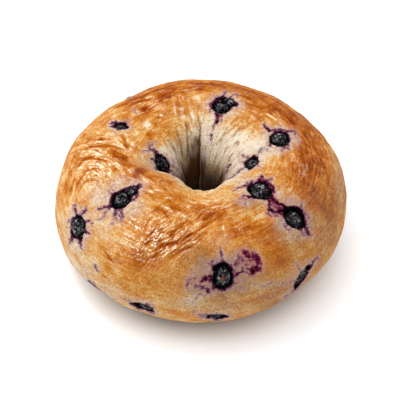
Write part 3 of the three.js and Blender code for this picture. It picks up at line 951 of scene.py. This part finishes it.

# Dough that the juice made pale and grey, and a thin band down the right edge, at (339, 188), painted
# paler as grazing light
PALED = [
    (0.9, 12, 12, 0, 102, 197), (0.7, 8, 7, 0, 260, 160), (0.35, 6, 30, 0, 339, 188),
    (0.3, 12, 9, 0, 221, 241), (0.9, 10, 7, 15, 119, 184), (1, 11, 9, 30, 133, 208),
    (0.5, 9, 7, 0, 97, 215), (0.6, 6, 8, 0, 90, 219), (0.5, 5, 12, 0, 66, 230), (0.6, 9, 9, 0, 76, 248),
    (0.8, 12, 6, 25, 243, 165), (1, 11, 8, 40, 262, 150), (0.8, 9, 6, 0, 277, 149),
    (0.3, 8, 5, 0, 262, 133), (0.5, 10, 3, 0, 280, 127), (0.5, 8, 4, 0, 226, 93),
    (0.5, 4, 10, 0, 209, 122), (0.9, 10, 4, 12, 243, 181), (0.7, 8, 4, 0, 244, 202),
    (0.5, 6, 10, 0, 281, 195), (0.7, 9, 5, 0, 290, 201), (0.7, 8, 8, 0, 284, 225),
    (0.7, 14, 5, 0, 292, 238), (0.5, 5, 10, 0, 312, 222), (0.9, 12, 9, 0, 238, 262),
    (0.8, 12, 10, 0, 204, 270), (0.8, 16, 7, 0, 236, 287), (0.6, 14, 6, 0, 198, 289),
    (0.6, 14, 5, 12, 283, 287), (0.6, 12, 5, 0, 310, 264), (0.6, 12, 5, -20, 138, 302),
    (0.5, 14, 4, 0, 205, 312), (0.3, 8, 7, 0, 141, 160), (0.6, 8, 6, -30, 152, 164),
    (0.5, 8, 5, 0, 116, 130), (0.5, 6, 5, 0, 149, 150), (0.4, 20, 5, 0, 215, 298),
    (0.35, 12, 22, 0, 326, 235), (0.7, 14, 20, 0, 208, 134), (0.45, 12, 12, 0, 102, 226),
    (0.55, 12, 10, -40, 84, 274), (0.55, 18, 9, -30, 110, 292), (0.45, 22, 6, 0, 190, 305),
    (0.55, 26, 7, 0, 228, 306), (0.6, 8, 16, 0, 293, 232), (0.5, 16, 8, 10, 292, 296),
    (0.4, 26, 8, 20, 275, 296),
]
halo = np.maximum(halo, strongest(PALED))

# Pale crumbs beside the berries at the hole
CRUMBS = [
    (0.4, 6, 5, 0, 260, 160), (1, 13, 7, 25, 258, 147), (0.9, 9, 5, 10, 272, 150),
    (0.8, 10, 5, -35, 238, 166), (0.6, 7, 9, 0, 212, 120), (0.7, 6, 4, 0, 246, 203),
    (0.5, 9, 6, 20, 134, 206), (0.4, 9, 5, 0, 100, 200), (0.4, 6, 5, 0, 148, 124),
]
crumbs = strongest(CRUMBS) * step(rough(base, 1.5, 451, 2), -0.35, 0.35)
CRUMB_RISE = 0.28
relief += CRUMB_RISE * crumbs

# Painted shade on the dough, low and on the right, where less light falls, and golden patches within it
# that it leaves out
PAINTED_DIM_PATCHES = [
    (1.3, 70, 30, 5, 232, 284), (0.7, 26, 50, 0, 298, 218), (0.5, 18, 50, 0, 322, 220),
    (0.6, 22, 12, 0, 250, 208), (0.5, 16, 14, 0, 200, 256), (0.3, 24, 16, 0, 262, 240),
    (0.5, 9, 40, 0, 338, 208),
]
GOLDEN = [
    (1, 24, 15, 25, 246, 228), (1, 15, 12, 0, 274, 250), (0.8, 18, 20, 0, 300, 170),
    (0.7, 26, 5, 8, 260, 300), (0.8, 10, 5, 0, 176, 312),
]
painted_dim = np.clip(summed(PAINTED_DIM_PATCHES), 0, 1) * (1 - 0.85 * np.clip(summed(GOLDEN), 0, 1))

# How brown the crust looks in the picture, browner or paler: partly its baking, and partly painted shade
# and light, darker on the right where less light falls
BAKED = [
    # left
    (0.24, 11, 9, -40, 122, 158), (0.34, 12, 10, 0, 139, 173), (0.12, 12, 8, 0, 121, 176),
    (-0.1, 10, 12, 0, 100, 232), (-0.12, 10, 8, 0, 102, 258), (0.14, 10, 5, 0, 99, 158),
    (0.04, 5, 16, -12, 67, 186), (0.1, 8, 14, 30, 76, 158), (0.3, 14, 6, -25, 162, 178),
    (0.22, 12, 7, 0, 152, 190), (-0.12, 12, 10, 0, 92, 208), (-0.14, 9, 30, 0, 68, 220),
    (-0.2, 14, 18, 0, 84, 266), (0.06, 12, 10, 0, 112, 268),
    # front left
    (0.23, 22, 20, 0, 152, 238), (0.24, 22, 14, 35, 184, 238), (0.26, 18, 9, 0, 143, 262),
    (0.22, 6, 9, -30, 108, 257), (0.2, 14, 8, 0, 172, 205), (0.36, 20, 10, 0, 212, 212),
    (0.1, 16, 6, 10, 150, 279), (-0.2, 22, 12, -30, 114, 290), (-0.08, 8, 16, 0, 88, 250),
    (0.2, 8, 8, 0, 110, 262), (0.12, 12, 8, 0, 160, 264), (0.08, 12, 6, 0, 235, 205),
    # front right
    (0.12, 40, 24, 0, 250, 240), (0.14, 20, 40, 0, 325, 215), (0.26, 12, 7, 10, 243, 229),
    (0.1, 22, 13, 25, 246, 226), (0.12, 14, 12, 0, 274, 250), (-0.14, 9, 16, 0, 294, 230),
    (-0.1, 8, 6, 0, 262, 214), (0.24, 13, 10, 0, 263, 233), (0.26, 15, 10, 0, 272, 252),
    (0.2, 9, 6, 0, 285, 262), (-0.06, 14, 5, 25, 236, 213), (0.38, 20, 16, 0, 300, 170),
    (-0.26, 9, 16, 0, 321, 214), (0.34, 13, 18, 0, 311, 194), (0.28, 8, 22, 0, 327, 208),
    (0.22, 10, 14, -40, 318, 160), (-0.04, 9, 7, 0, 285, 190),
    # back
    (0.12, 60, 14, -4, 180, 88), (0.14, 20, 30, 40, 290, 120), (0.1, 26, 14, -30, 135, 108),
    (0.26, 6, 5, 0, 145, 109), (0.12, 8, 6, 0, 160, 116), (0.18, 12, 6, 15, 164, 97),
    (0.12, 26, 6, 24, 146, 95), (0.22, 34, 5, 0, 200, 84), (0.2, 24, 6, -14, 250, 94),
    (0.2, 22, 8, -30, 284, 115), (0.22, 12, 20, -30, 308, 140), (0.12, 12, 7, 0, 246, 103),
    (0.06, 14, 8, 0, 262, 118), (-0.14, 8, 6, 0, 198, 98), (0.14, 24, 7, 0, 172, 111),
    (-0.28, 18, 16, 0, 241, 140), (-0.3, 18, 16, 0, 210, 134), (-0.26, 14, 10, 0, 262, 152),
    (-0.45, 4.5, 5, 0, 147.5, 125), (-0.12, 12, 10, 0, 144, 156), (-0.12, 14, 8, 0, 180, 118),
    # low
    (-0.06, 60, 14, 0, 215, 298), (0.16, 22, 4, 8, 262, 299), (0.1, 14, 20, 40, 322, 262),
    (0.16, 8, 4, 0, 175, 312), (-0.08, 18, 6, 0, 200, 302), (0.08, 18, 4, 15, 272, 297),
    (0.05, 16, 4, 8, 246, 306),
    # here and there
    (-0.1, 16, 10, 0, 306, 244), (-0.08, 12, 12, 0, 325, 255),
    (-0.12, 18, 12, 0, 254, 232), (-0.14, 16, 10, 0, 270, 252), (-0.08, 12, 8, 0, 250, 300),
    (-0.1, 14, 8, 0, 190, 300), (0.08, 14, 8, 0, 112, 275), (-0.14, 10, 8, 0, 220, 112),
    (-0.14, 10, 13, 0, 201, 152), (-0.16, 8, 7, 0, 161, 161), (-0.1, 8, 7, 0, 121, 128),
    (0.1, 8, 6, 0, 180, 112), (0.12, 10, 9, 0, 138, 176), (0.1, 12, 10, 0, 160, 241),
    (0.1, 10, 9, 0, 181, 256), (0.1, 12, 8, 0, 240, 258), (0.12, 10, 8, 0, 282, 97),
    (0.1, 9, 12, 0, 302, 118), (-0.06, 12, 8, 0, 100, 255), (0.08, 8, 6, 0, 140, 144),
    (0.06, 9, 8, 0, 260, 128),
]

# And elsewhere, in millimetres: middle, reach, browner or paler
BAKED_BEHIND = [
    ((20, 40), 13, 0.16),
    ((60, 34), 14, 0.22),
    ((98, 40), 12, 0.16),
    ((140, 38), 14, 0.20),
    ((120, 8), 8, -0.10),
    ((76, 4), 9, -0.12),
    ((30, 2), 9, -0.08),
    ((170, 350), 9, -0.10),
]

BAKED_ALL_OVER = 0.38
BROWNER_CROWN = 0.06
BROWNER_SOLE = 0.26
PALER_HOLE = 0.46
browning = BAKED_ALL_OVER + BROWNER_CROWN * np.where(over < 180, step(over, 5, 50), 0)
browning += summed(BAKED) - PALER_HOLE * hole + BROWNER_SOLE * between(over, SOLE_RANGE)
for number, (middle, reach, amount) in enumerate(BAKED_BEHIND):
    distance = from_place(middle) + 3.2 * rough(base, 6, 311 + number, 3)
    browning += amount * hidden * bell(np.maximum(distance, 0) / reach)
browning += 0.10 * rough(base, 5, 361, 3) + 0.16 * streaks

# Painted shade deep in the hole and in its creases, and in lines down the hole: share, width and line
SHADED = [
    (1.0, 1.6, (198.8, 128), (199.2, 138), (198.8, 150), (198, 166)),
    (0.75, 1.1, (198.4, 117), (198.8, 128)),
    (0.6, 6, (196, 140), (195, 150), (195, 164)),
    (0.5, 1.8, (185.5, 124), (187, 136), (188, 158)),
    (0.3, 1.6, (191, 134), (192, 146), (192.5, 160)),
    (0.35, 1.8, (177, 132), (180.5, 144), (184, 162)),
    (0.3, 1.6, (169, 140), (174, 150), (178, 162)),
]
PAINTED_SHADE_CORNER = [(0.48, 14, 20, 15, 184, 150)]
near_seam = bell(turn_between(around, 98) / 26)
painted_shade = step(over + 14 * near_seam, 138, 174) * (1 - step(over, 262, 285))
painted_shade = 0.95 * painted_shade + 0.5 * hole * step(-relief, 0.1, 0.6)
for amount, width, *line in SHADED:
    chosen, gap, _, _ = stroke(line, width)
    soft = amount * bell(np.maximum(gap - 0.3, 0)) * shown[chosen]
    painted_shade[chosen] = np.maximum(painted_shade[chosen], soft)
painted_shade += summed(PAINTED_SHADE_CORNER)

# Patches of painted shade, most of them low in front
PAINTED_SHADE_PATCHES = [
    (0.22, 16, 12, 0, 200, 256), (0.2, 16, 12, 0, 244, 262), (0.16, 14, 8, 0, 245, 274),
    (0.18, 14, 10, 0, 200, 284), (0.34, 14, 8, 0, 300, 289), (0.34, 22, 7, 0, 272, 304),
    (0.12, 12, 8, 0, 182, 112), (0.16, 9, 9, 0, 281, 223), (0.14, 18, 9, 0, 248, 206),
]
painted_shade = np.clip(np.maximum(painted_shade, strongest(PAINTED_SHADE_PATCHES) * (1 + 0.5 * ripple[:, 0])), 0, 1)

# Where the egg wash lies thick: glossier, and painted with a salmon sheen and glints
GLAZED_WITH_PAINTED_SHEEN = [
    (1, 26, 24, 0, 146, 236), (1, 22, 24, 0, 95, 166), (0.45, 26, 16, 35, 184, 238),
    (0.3, 18, 14, -40, 126, 156), (0.3, 34, 12, 15, 165, 103), (0.25, 16, 9, -20, 158, 184),
    (0.5, 22, 8, 0, 212, 205), (0.18, 24, 18, 0, 300, 165), (0.4, 20, 10, -20, 264, 116),
    (0.25, 12, 12, 0, 236, 226), (0.35, 12, 8, 0, 205, 150), (0.5, 16, 16, 0, 112, 250),
]
gloss_and_painted_sheen = np.maximum((0.06 + 0.25 * hidden) * crown, strongest(GLAZED_WITH_PAINTED_SHEEN))
gloss_and_painted_sheen = np.clip(gloss_and_painted_sheen * (1 + 0.35 * rough(base, 4, 371, 2)) - 0.5 * hole - 0.5 * halo, 0, 1)

# Ways of the fine grain: round the ring on the sides, along arcs on the left, along the ridges in
# front, and up the wall of the hole. Each has a way of measuring, where cells of noise are long,
# and a share. Where the crust is calm the grain hardly shows.
ARCS_HERE = [(1.3, 34, 34, 0, 100, 160)]
RIDGES_HERE = [(1.3, 38, 26, 20, 174, 238)]
WALL_TOP = [(0.7, 22, 22, 0, 190, 112), (0.8, 22, 22, 0, 238, 130)]
CALM = [(1.2, 88, 42, 6, 230, 288), (0.35, 34, 44, 30, 112, 250)]
calm = np.clip(summed(CALM) + 0.5 * hidden * side, 0, 1)
side_share = np.maximum(side, 0.75) * (1 - 0.8 * calm)
side_ways = np.concatenate([round_ring * RING_RADIUS / 3.8, (girth / 0.9)[:, None]], 1)
arc_ways = np.stack([arc_distance / 1.8, 5 * np.cos(arc_turn), 5 * np.sin(arc_turn)], 1)
ridge_ways = np.stack([ridge_along / 7, ridge_across / 2.0, 0 * ridge_along], 1)
wall_ways = np.concatenate([round_ring * 16, (depth / 4.5)[:, None]], 1)
WAYS = (
    ("side", side_ways, side_share),
    ("arc", arc_ways, summed(ARCS_HERE)),
    ("ridge", ridge_ways, summed(RIDGES_HERE)),
    ("wall", wall_ways, hole + summed(WALL_TOP)),
)

POCKET_DEPTH = 3.4
ABOVE_TABLE = 0.02
points = base + outward * (relief * (1 - pocket) - POCKET_DEPTH * pocket)[:, None]
flat = base[:, 2] < 1e-6
points[:, 2] = np.where(flat, 0, np.maximum(points[:, 2], ABOVE_TABLE))


def make_piece(name, points, faces, material, node):
    mesh = bpy.data.meshes.new(name)
    mesh.vertices.add(len(points))
    mesh.vertices.foreach_set("co", ((points + shift) * MM).astype(np.float32).ravel())
    mesh.loops.add(3 * len(faces))
    mesh.loops.foreach_set("vertex_index", faces.astype(np.int32).ravel())
    mesh.polygons.add(len(faces))
    mesh.polygons.foreach_set("loop_start", np.arange(0, 3 * len(faces), 3, dtype=np.int32))
    mesh.polygons.foreach_set("loop_total", np.full(len(faces), 3, dtype=np.int32))
    mesh.update(calc_edges=True)
    mesh.validate()
    mesh.shade_smooth()
    piece = bpy.data.objects.new(name, mesh)
    bpy.context.collection.objects.link(piece)
    mesh.materials.append(material)
    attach(piece, "root")
    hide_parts(node)
    return piece


def add_values(piece, name, values):
    values = np.asarray(values, np.float32)
    kind, key = ("FLOAT", "value") if values.ndim == 1 else ("FLOAT_VECTOR", "vector")
    piece.data.attributes.new(name, kind, "POINT").data.foreach_set(key, values.ravel())


# Materials. The light on the crown is stronger than a white sheet needs to look white.

LIGHT_ON_THE_CROWN = 1.42

# Colours as they look on the crown, in screen values from 0 to 255: raw to dark crust, thin to thick
# juice, and the painted shade in a berry's hollows to its bloom and painted shine
BAKING = [
    (0.00, (252, 234, 208)),
    (0.18, (240, 200, 136)),
    (0.36, (229, 159, 74)),
    (0.54, (211, 128, 38)),
    (0.72, (187, 95, 10)),
    (0.90, (160, 71, 3)),
    (1.00, (138, 56, 2)),
]
PLUM_JUICE = [
    (0.10, (212, 188, 180)),
    (0.30, (180, 152, 154)),
    (0.50, (142, 108, 122)),
    (0.68, (102, 64, 84)),
    (0.84, (66, 30, 50)),
    (0.95, (34, 12, 24)),
    (1.00, (8, 4, 7)),
]
RED_JUICE = [
    (0.10, (216, 172, 170)),
    (0.30, (184, 120, 128)),
    (0.52, (140, 58, 84)),
    (0.74, (98, 20, 50)),
    (1.00, (16, 4, 10)),
]
BLOOM_WITH_PAINTED_LIGHT = [
    (0.00, (3, 2, 3)),
    (0.45, (14, 12, 15)),
    (0.70, (44, 42, 46)),
    (0.90, (66, 64, 70)),
    (1.00, (120, 118, 124)),
]

# The colour of a painted glint, as a shader's values
PAINTED_GLINT = (1.0, 0.88, 0.66, 1)


def linear(colour):
    """A colour as it looks on the crown, in screen values from 0 to 255, as a shader's values."""
    parts = [c / 255 for c in colour]
    parts = [c / 12.92 if c <= 0.04045 else ((c + 0.055) / 1.055) ** 2.4 for c in parts]
    return [c / LIGHT_ON_THE_CROWN for c in parts] + [1]


class Value:
    """What a node puts out. The signs of arithmetic add more nodes."""

    def __init__(self, nodes, socket):
        self.nodes = nodes
        self.socket = socket

    def __add__(self, other):
        return self.nodes.math("ADD", self, other)

    def __sub__(self, other):
        return self.nodes.math("SUBTRACT", self, other)

    def __rsub__(self, other):
        return self.nodes.math("SUBTRACT", other, self)

    def __mul__(self, other):
        return self.nodes.math("MULTIPLY", self, other)

    __radd__ = __add__
    __rmul__ = __mul__


class Nodes:
    """Adds and joins the nodes of one material."""

    def __init__(self, name):
        self.material = bpy.data.materials.new(name)
        self.material.use_nodes = True
        self.tree = self.material.node_tree
        self.shader = self.tree.nodes["Principled BSDF"]

    def set(self, node, inputs):
        for key, value in inputs.items():
            if isinstance(value, Value):
                self.tree.links.new(value.socket, node.inputs[key])
            else:
                node.inputs[key].default_value = value

    def put(self, kind, output, inputs, **settings):
        node = self.tree.nodes.new(kind)
        for key, value in settings.items():
            setattr(node, key, value)
        self.set(node, inputs)
        return Value(self, node.outputs[output])

    def value(self, name, output="Fac"):
        return self.put("ShaderNodeAttribute", output, {}, attribute_name=name)

    def math(self, operation, *values, clamp=False):
        inputs = dict(enumerate(values))
        return self.put("ShaderNodeMath", 0, inputs, operation=operation, use_clamp=clamp)

    def range(self, value, low, high, to_low=0.0, to_high=1.0, smooth=True):
        inputs = {"Value": value, "From Min": low, "From Max": high, "To Min": to_low, "To Max": to_high}
        kind = "SMOOTHSTEP" if smooth else "LINEAR"
        return self.put("ShaderNodeMapRange", "Result", inputs, clamp=True, interpolation_type=kind)

    def ramp(self, value, stops):
        node = self.tree.nodes.new("ShaderNodeValToRGB")
        self.set(node, {"Fac": value})
        elements = node.color_ramp.elements
        while len(elements) < len(stops):
            elements.new(0.5)
        for element, (position, colour) in zip(elements, stops):
            element.position = position
            element.color = linear(colour)
        return Value(self, node.outputs["Color"])

    def mix(self, share, first, second):
        return self.put("ShaderNodeMix", 2, {0: share, 6: first, 7: second}, data_type="RGBA")

    def paint(self, share, under, colour):
        return self.mix(share, under, linear(colour))

    def blend(self, share, first, second):
        return self.put("ShaderNodeMix", 0, {0: share, 2: first, 3: second}, data_type="FLOAT")

    def noise(self, scale, detail=3.0, roughness=0.55, where=None):
        where = where or self.put("ShaderNodeTexCoord", "Object", {})
        inputs = {"Vector": where, "Scale": scale, "Detail": detail, "Roughness": roughness}
        return self.put("ShaderNodeTexNoise", "Fac", inputs)

    def bump(self, strength, distance, **inputs):
        return self.put("ShaderNodeBump", 0, {"Strength": strength, "Distance": distance, **inputs})


def crust_material():
    n = Nodes("crust")
    ways = n.noise(340, 5, 0.62)
    for name, _, _ in WAYS:
        long_cells = n.noise(1, 3, 0.6, n.value(name + "_way", "Vector"))
        ways = n.blend(n.value(name + "_share"), ways, long_cells)
    calm, painted_dim, painted_shade = n.value("calm"), n.value("painted_dim"), n.value("painted_shade")
    halo, stain_and_pocket_shade, furrow = n.value("halo"), n.value("stain_and_pocket_shade"), n.value("furrow")
    ways = n.blend(0.55 * calm, ways, 0.5)
    patchy = n.blend(0.4 * calm, n.noise(260, 4, 0.6), 0.5)
    fine = n.noise(1650, 2, 0.5)
    grain = n.noise(2600, 2, 0.6)
    above = n.range(furrow, 0.15, 0.6, 1.0, 0.0)
    crest = n.value("crest") * above
    gloss_and_painted_sheen = n.value("gloss_and_painted_sheen") * above

    # Baking, with the furrows painted darker as shade in them and the crests and raised relief painted
    # lighter as light on them
    brown = n.value("browning") + 0.26 * furrow - 0.14 * crest - 0.22 * n.value("fine_relief")
    broad = n.noise(120, 2, 0.5)
    for texture, amount in ((ways, 1.15), (fine, 0.8), (grain, 0.5), (patchy, 0.7), (broad, 0.5)):
        brown = brown + amount * (texture - 0.5)
    colour = n.ramp(n.math("MAXIMUM", brown, 0.0), BAKING)

    # Egg wash: a painted salmon sheen and painted glints
    speck = 0.7 * fine - 0.9 * ways
    painted_sheen = gloss_and_painted_sheen * n.range(speck + 0.08 * gloss_and_painted_sheen, -0.14, 0.08)
    painted_sheen = n.math("MAXIMUM", painted_sheen, crest * n.range(speck, -0.22, 0.0, 0.25, 1.0))
    colour = n.paint(0.72 * painted_sheen, colour, (251, 196, 146))
    spark = n.range(0.6 * fine - 1.1 * ways, -0.20, -0.13)
    glint = 0.92 * spark * n.math("MAXIMUM", gloss_and_painted_sheen, 1.3 * crest, clamp=True)
    colour = n.mix(glint, colour, PAINTED_GLINT)

    # Lines of painted shade and painted highlight on the wall of the hole, then painted shade and pale
    # dough
    wall = n.value("wall_share")
    colour = n.paint(wall * n.range(ways, 0.53, 0.63, 0.0, 0.8), colour, (168, 132, 112))
    colour = n.paint(wall * n.range(ways, 0.47, 0.38, 0.0, 0.8), colour, (252, 240, 222))
    # Painted shade, low and on the right; by it the pale dough below blends from a lit to a shaded tone
    colour = n.paint(0.42 * painted_dim, colour, (164, 122, 88))
    cloud = n.range(n.noise(420, 4, 0.6), 0.35, 0.65)
    pale = halo * (0.42 * cloud + 0.5) * n.range(painted_shade, 0.2, 0.9, 1.0, 0.0)
    colour = n.mix(pale, colour, n.mix(painted_dim, linear((230, 206, 182)), linear((142, 106, 82))))
    thread = n.range(n.math("ABSOLUTE", n.noise(480, 5, 0.65) - 0.5), 0.035, 0.0)
    colour = n.paint(0.38 * thread * n.range(halo, 0.35, 1.0), colour, (146, 112, 126))

    # Specks, pores, crumbs, and the painted shade
    speckle = n.noise(1000, 4, 0.7)
    washed = n.math("MAXIMUM", n.range(halo, 0.05, 0.5), n.range(stain_and_pocket_shade, 0.03, 0.2), clamp=True)
    colour = n.paint(washed * n.range(speckle, 0.53, 0.66, 0.0, 0.62), colour, (112, 82, 84))
    dots = washed * n.range(calm, 0.0, 1.0, 1.0, 0.5) * n.range(speckle, 0.47, 0.36, 0.0, 0.55)
    # Pale dots, blending from a lit to a shaded tone by the painted shade
    colour = n.mix(dots, colour, n.mix(painted_dim, linear((252, 240, 226)), linear((222, 196, 172))))
    pores = n.noise(1450, 1, 0.5)
    dots = n.range(pores, 0.60, 0.70) * n.range(painted_dim, 0.0, 0.8, 0.25, 0.65)
    colour = n.paint(dots, colour, (116, 74, 56))
    colour = n.paint(n.range(pores, 0.34, 0.24, 0.0, 0.22), colour, (255, 232, 190))
    colour = n.paint(n.value("crumbs") * n.range(fine, 0.3, 0.6, 0.5, 0.95), colour, (250, 238, 222))
    colour = n.paint(painted_shade, colour, (84, 50, 26))

    # Juice, with frayed edges
    vein = n.range(n.math("ABSOLUTE", n.noise(700, 4, 0.65) - 0.5), 0.07, 0.0)
    fray = 1.5 * (speckle - 0.5) + 0.5 * (fine - 0.5) + 0.4 * (grain - 0.5) + 0.15 * (vein - 0.35)
    edge = stain_and_pocket_shade + fray * n.range(stain_and_pocket_shade, 0.05, 0.35)
    juice = n.mix(n.value("magenta"), n.ramp(edge, PLUM_JUICE), n.ramp(edge, RED_JUICE))
    colour = n.mix(n.range(edge, 0.03, 0.55, smooth=False), colour, juice)

    dry = n.range(stain_and_pocket_shade, 0.2, 0.9, 1.0, 0.5)
    coarse = n.bump(0.9, 0.0004, Height=ways)
    n.set(n.shader, {
        "Base Color": colour,
        "Roughness": 0.62 - 0.2 * gloss_and_painted_sheen,
        "Specular IOR Level": 0.0,
        "Sheen Weight": 0.18,
        "Sheen Roughness": 0.3,
        "Coat Roughness": 0.12,
        "Coat Weight": n.math("MAXIMUM", gloss_and_painted_sheen, crest) * spark * dry,
        "Normal": n.bump(1.0, 0.0003, Height=fine, Normal=coarse),
    })
    return n.material


def berry_material():
    n = Nodes("berry_skin")
    fine = n.noise(1100, 4, 0.65)
    crest = n.value("crest")
    # Painted shade in the hollows of the wrinkles, and bloom and painted shine on their crests
    colour = n.ramp(n.range(crest + 1.4 * (fine - 0.5), 0.2, 1.25), BLOOM_WITH_PAINTED_LIGHT)
    # Painted glints on the berry's skin
    painted_glints = n.noise(640, 2, 0.5) + 0.12 * crest
    colour = n.paint(n.range(painted_glints, 0.70, 0.75, 0.0, 0.55), colour, (190, 186, 192))
    calyx = n.value("calyx") + 3.0 * (fine - 0.5)
    colour = n.paint(n.range(calyx, 0.6, 1.0), colour, (128, 58, 26))
    # The rim value paints the skin near-black, as shade where the berry sinks into its pocket
    n.set(n.shader, {
        "Base Color": n.paint(n.value("rim"), colour, (4, 2, 4)),
        "Roughness": n.range(fine, 0.3, 0.7, 0.28, 0.5),
        "Specular IOR Level": 0.06,
        "Coat Weight": n.range(n.noise(900, 2, 0.5), 0.5, 0.6, 0.0, 0.9),
        "Coat Roughness": 0.12,
        "Normal": n.bump(0.9, 0.0005, Height=n.noise(1300, 3, 0.6)),
    })
    return n.material


FULL_FINE_RELIEF = 0.3
skin = crust_material()
dough = make_piece("bagel_crust", points, faces, skin, "dough")
for name, values in (
    ("browning", browning),
    ("fine_relief", fine_relief / FULL_FINE_RELIEF),
    ("crest", crests),
    ("furrow", furrows),
    ("halo", halo),
    # The stain is full in the pockets: dark juice there, and painted shade in the gap round each berry
    ("stain_and_pocket_shade", np.maximum(stain_and_pocket_shade, pocket)),
    ("magenta", magenta),
    ("gloss_and_painted_sheen", gloss_and_painted_sheen),
    ("painted_shade", painted_shade),
    ("painted_dim", painted_dim),
    ("calm", calm),
    ("crumbs", crumbs),
):
    add_values(dough, name, values)
for name, ways, share in WAYS:
    add_values(dough, name + "_share", np.clip(share, 0, 1))
    add_values(dough, name + "_way", ways)

# The berries

BALL_LEVEL = 5


def ball():
    """Points and faces of a ball of radius 1."""
    mesh = bpy.data.meshes.new("ball")
    shape = bmesh.new()
    bmesh.ops.create_icosphere(shape, subdivisions=BALL_LEVEL, radius=1)
    shape.to_mesh(mesh)
    shape.free()
    points = np.array([v.co[:] for v in mesh.vertices])
    faces = np.array([p.vertices[:] for p in mesh.polygons])
    bpy.data.meshes.remove(mesh)
    return points, faces


ball_points, ball_faces = ball()
juice_skin = berry_material()

# How much each berry's middle is sunk like the crown end of the fruit, from 0 to 1
CROWN_END = {"berry_front": 1.0, "berry_right_top": 0.8, "berry_right_back": 0.6}


def berry_shape(key, size, end, black):
    """A crumpled ball of that size, and how raised, near the calyx and dark its points are; the dark is
    painted shade round its sides, where it sinks into its pocket, and all over a berry deep in a slit.
    """
    wrinkles = 1 - np.minimum(3 * np.abs(rough(ball_points + key, 0.34, 401, 2)), 1)
    dents = rough(ball_points + key, 0.9, 411, 1)
    off = np.hypot(ball_points[:, 0], ball_points[:, 1])
    above = ball_points[:, 2] > 0
    cup = end * bell(off / 0.34) * above
    shaped = ball_points * (1 - 0.15 * wrinkles + 0.10 * dents)[:, None] * np.array(size) / 2
    shaped[:, 2] += 0.20 * end * bell((off - 0.42) / 0.14) * above - 0.55 * cup
    # Painted shade: darker round the sides of the ball, where it sinks into its pocket, and all over in
    # a slit
    rim = np.maximum(step(off + 0.16 * end, 0.64, 0.86), black)
    return shaped, (1 - wrinkles, cup, rim)


def add_berry(number, name):
    at, up, _, proud, _, _ = BERRIES[name]
    ahead, inward, out = axes_at(at, up)
    _, _, under, black = SLITS.get(name, OPEN)
    spot = crust(at, up) - (under + flattening(at, up)) * out
    points, faces, values = [], [], []
    for part, (ahead_by, inward_by, size, shape_turn) in enumerate(shapes_of(BERRIES[name])):
        end = CROWN_END.get(name, 0) if part == 0 else 0
        shaped, part_values = berry_shape(3.7 * number + 50 * part, size, end, black)
        x, y = rotated(shaped[:, 0], shaped[:, 1], shape_turn)
        local = np.stack([x + ahead_by, y + inward_by, shaped[:, 2] - size[2] / 2 + proud], 1)
        points.append(spot + local @ np.stack([ahead, inward, out]))
        faces.append(ball_faces + part * len(ball_points))
        values.append(part_values)
    points, faces = np.concatenate(points), np.concatenate(faces)
    piece = make_piece(name + "_skin", points, faces, juice_skin, name)
    for key, parts in zip(("crest", "calyx", "rim"), zip(*values)):
        add_values(piece, key, np.concatenate(parts))


for number, name in enumerate(BERRIES):
    add_berry(number, name)

# The table, the light and the camera


def floor_material():
    """White, and a little darker close to the bagel as a painted shadow, where the picture's shadow is
    deeper; farther out it glows a little, as painted light.
    """
    n = Nodes("white_table")
    place_here = n.put("ShaderNodeTexCoord", "Object", {})
    radius = n.put("ShaderNodeVectorMath", "Value", {0: place_here}, operation="LENGTH")
    away = n.range(radius, 0.040, 0.053)
    cloth = n.mix(n.range(n.noise(6, 2), 0.3, 0.7), (0.89, 0.93, 0.96, 1), (0.91, 0.95, 0.98, 1))
    # A painted shadow near the bagel, and beyond it a little glow, a painted light
    n.set(n.shader, {
        "Base Color": n.mix(away, (0.62, 0.67, 0.70, 1), cloth),
        "Roughness": 0.9,
        "Specular IOR Level": 0.1,
        "Emission Color": (1, 1, 1, 1),
        "Emission Strength": 0.16 * away,
    })
    return n.material


TABLE_SIZE = 6
TABLE_TOP = -0.0001
bpy.ops.mesh.primitive_plane_add(size=TABLE_SIZE, location=(0, 0, TABLE_TOP))
table = bpy.context.object
table.name = "table"
table.data.materials.append(floor_material())


def soft_light(name, place, target, size, watts):
    light = bpy.data.lights.new(name, "AREA")
    light.shape = "DISK"
    light.size = size
    light.energy = watts
    lamp = bpy.data.objects.new(name, light)
    bpy.context.collection.objects.link(lamp)
    lamp.location = place
    lamp.rotation_euler = (Vector(target) - Vector(place)).to_track_quat("-Z", "Y").to_euler()


BAGEL_MIDDLE = (0, 0, 0.02)
soft_light("key", (-0.42, 0.26, 0.92), BAGEL_MIDDLE, size=1.5, watts=8.8)
soft_light("glint", (-0.34, 0.22, 0.98), BAGEL_MIDDLE, size=0.16, watts=1.6)

STUDIO_STRENGTH = 0.9
world = bpy.data.worlds.new("studio")
world.use_nodes = True
background = world.node_tree.nodes["Background"]
background.inputs["Color"].default_value = (1, 1, 1, 1)
background.inputs["Strength"].default_value = STUDIO_STRENGTH
scene = bpy.context.scene
scene.world = world
scene.view_settings.view_transform = "Standard"

SENSOR_WIDTH = 36
camera_data = bpy.data.cameras.new("camera")
camera_data.sensor_width = SENSOR_WIDTH
camera_data.lens = SENSOR_WIDTH * PIXELS_PER_MM * CAMERA_DISTANCE / FRAME_PIXELS
camera_data.shift_x = (FRAME_PIXELS / 2 - VIEW_MIDDLE[0]) / FRAME_PIXELS
camera_data.shift_y = (VIEW_MIDDLE[1] - FRAME_PIXELS / 2) / FRAME_PIXELS
camera = bpy.data.objects.new("camera", camera_data)
bpy.context.collection.objects.link(camera)
tilt = math.radians(CAMERA_ELEVATION)
camera.location = (
    0,
    -CAMERA_DISTANCE * MM * math.cos(tilt),
    (LOOKED_AT + CAMERA_DISTANCE * math.sin(tilt)) * MM,
)
camera.rotation_euler = (math.pi / 2 - tilt, 0, 0)
scene.camera = camera
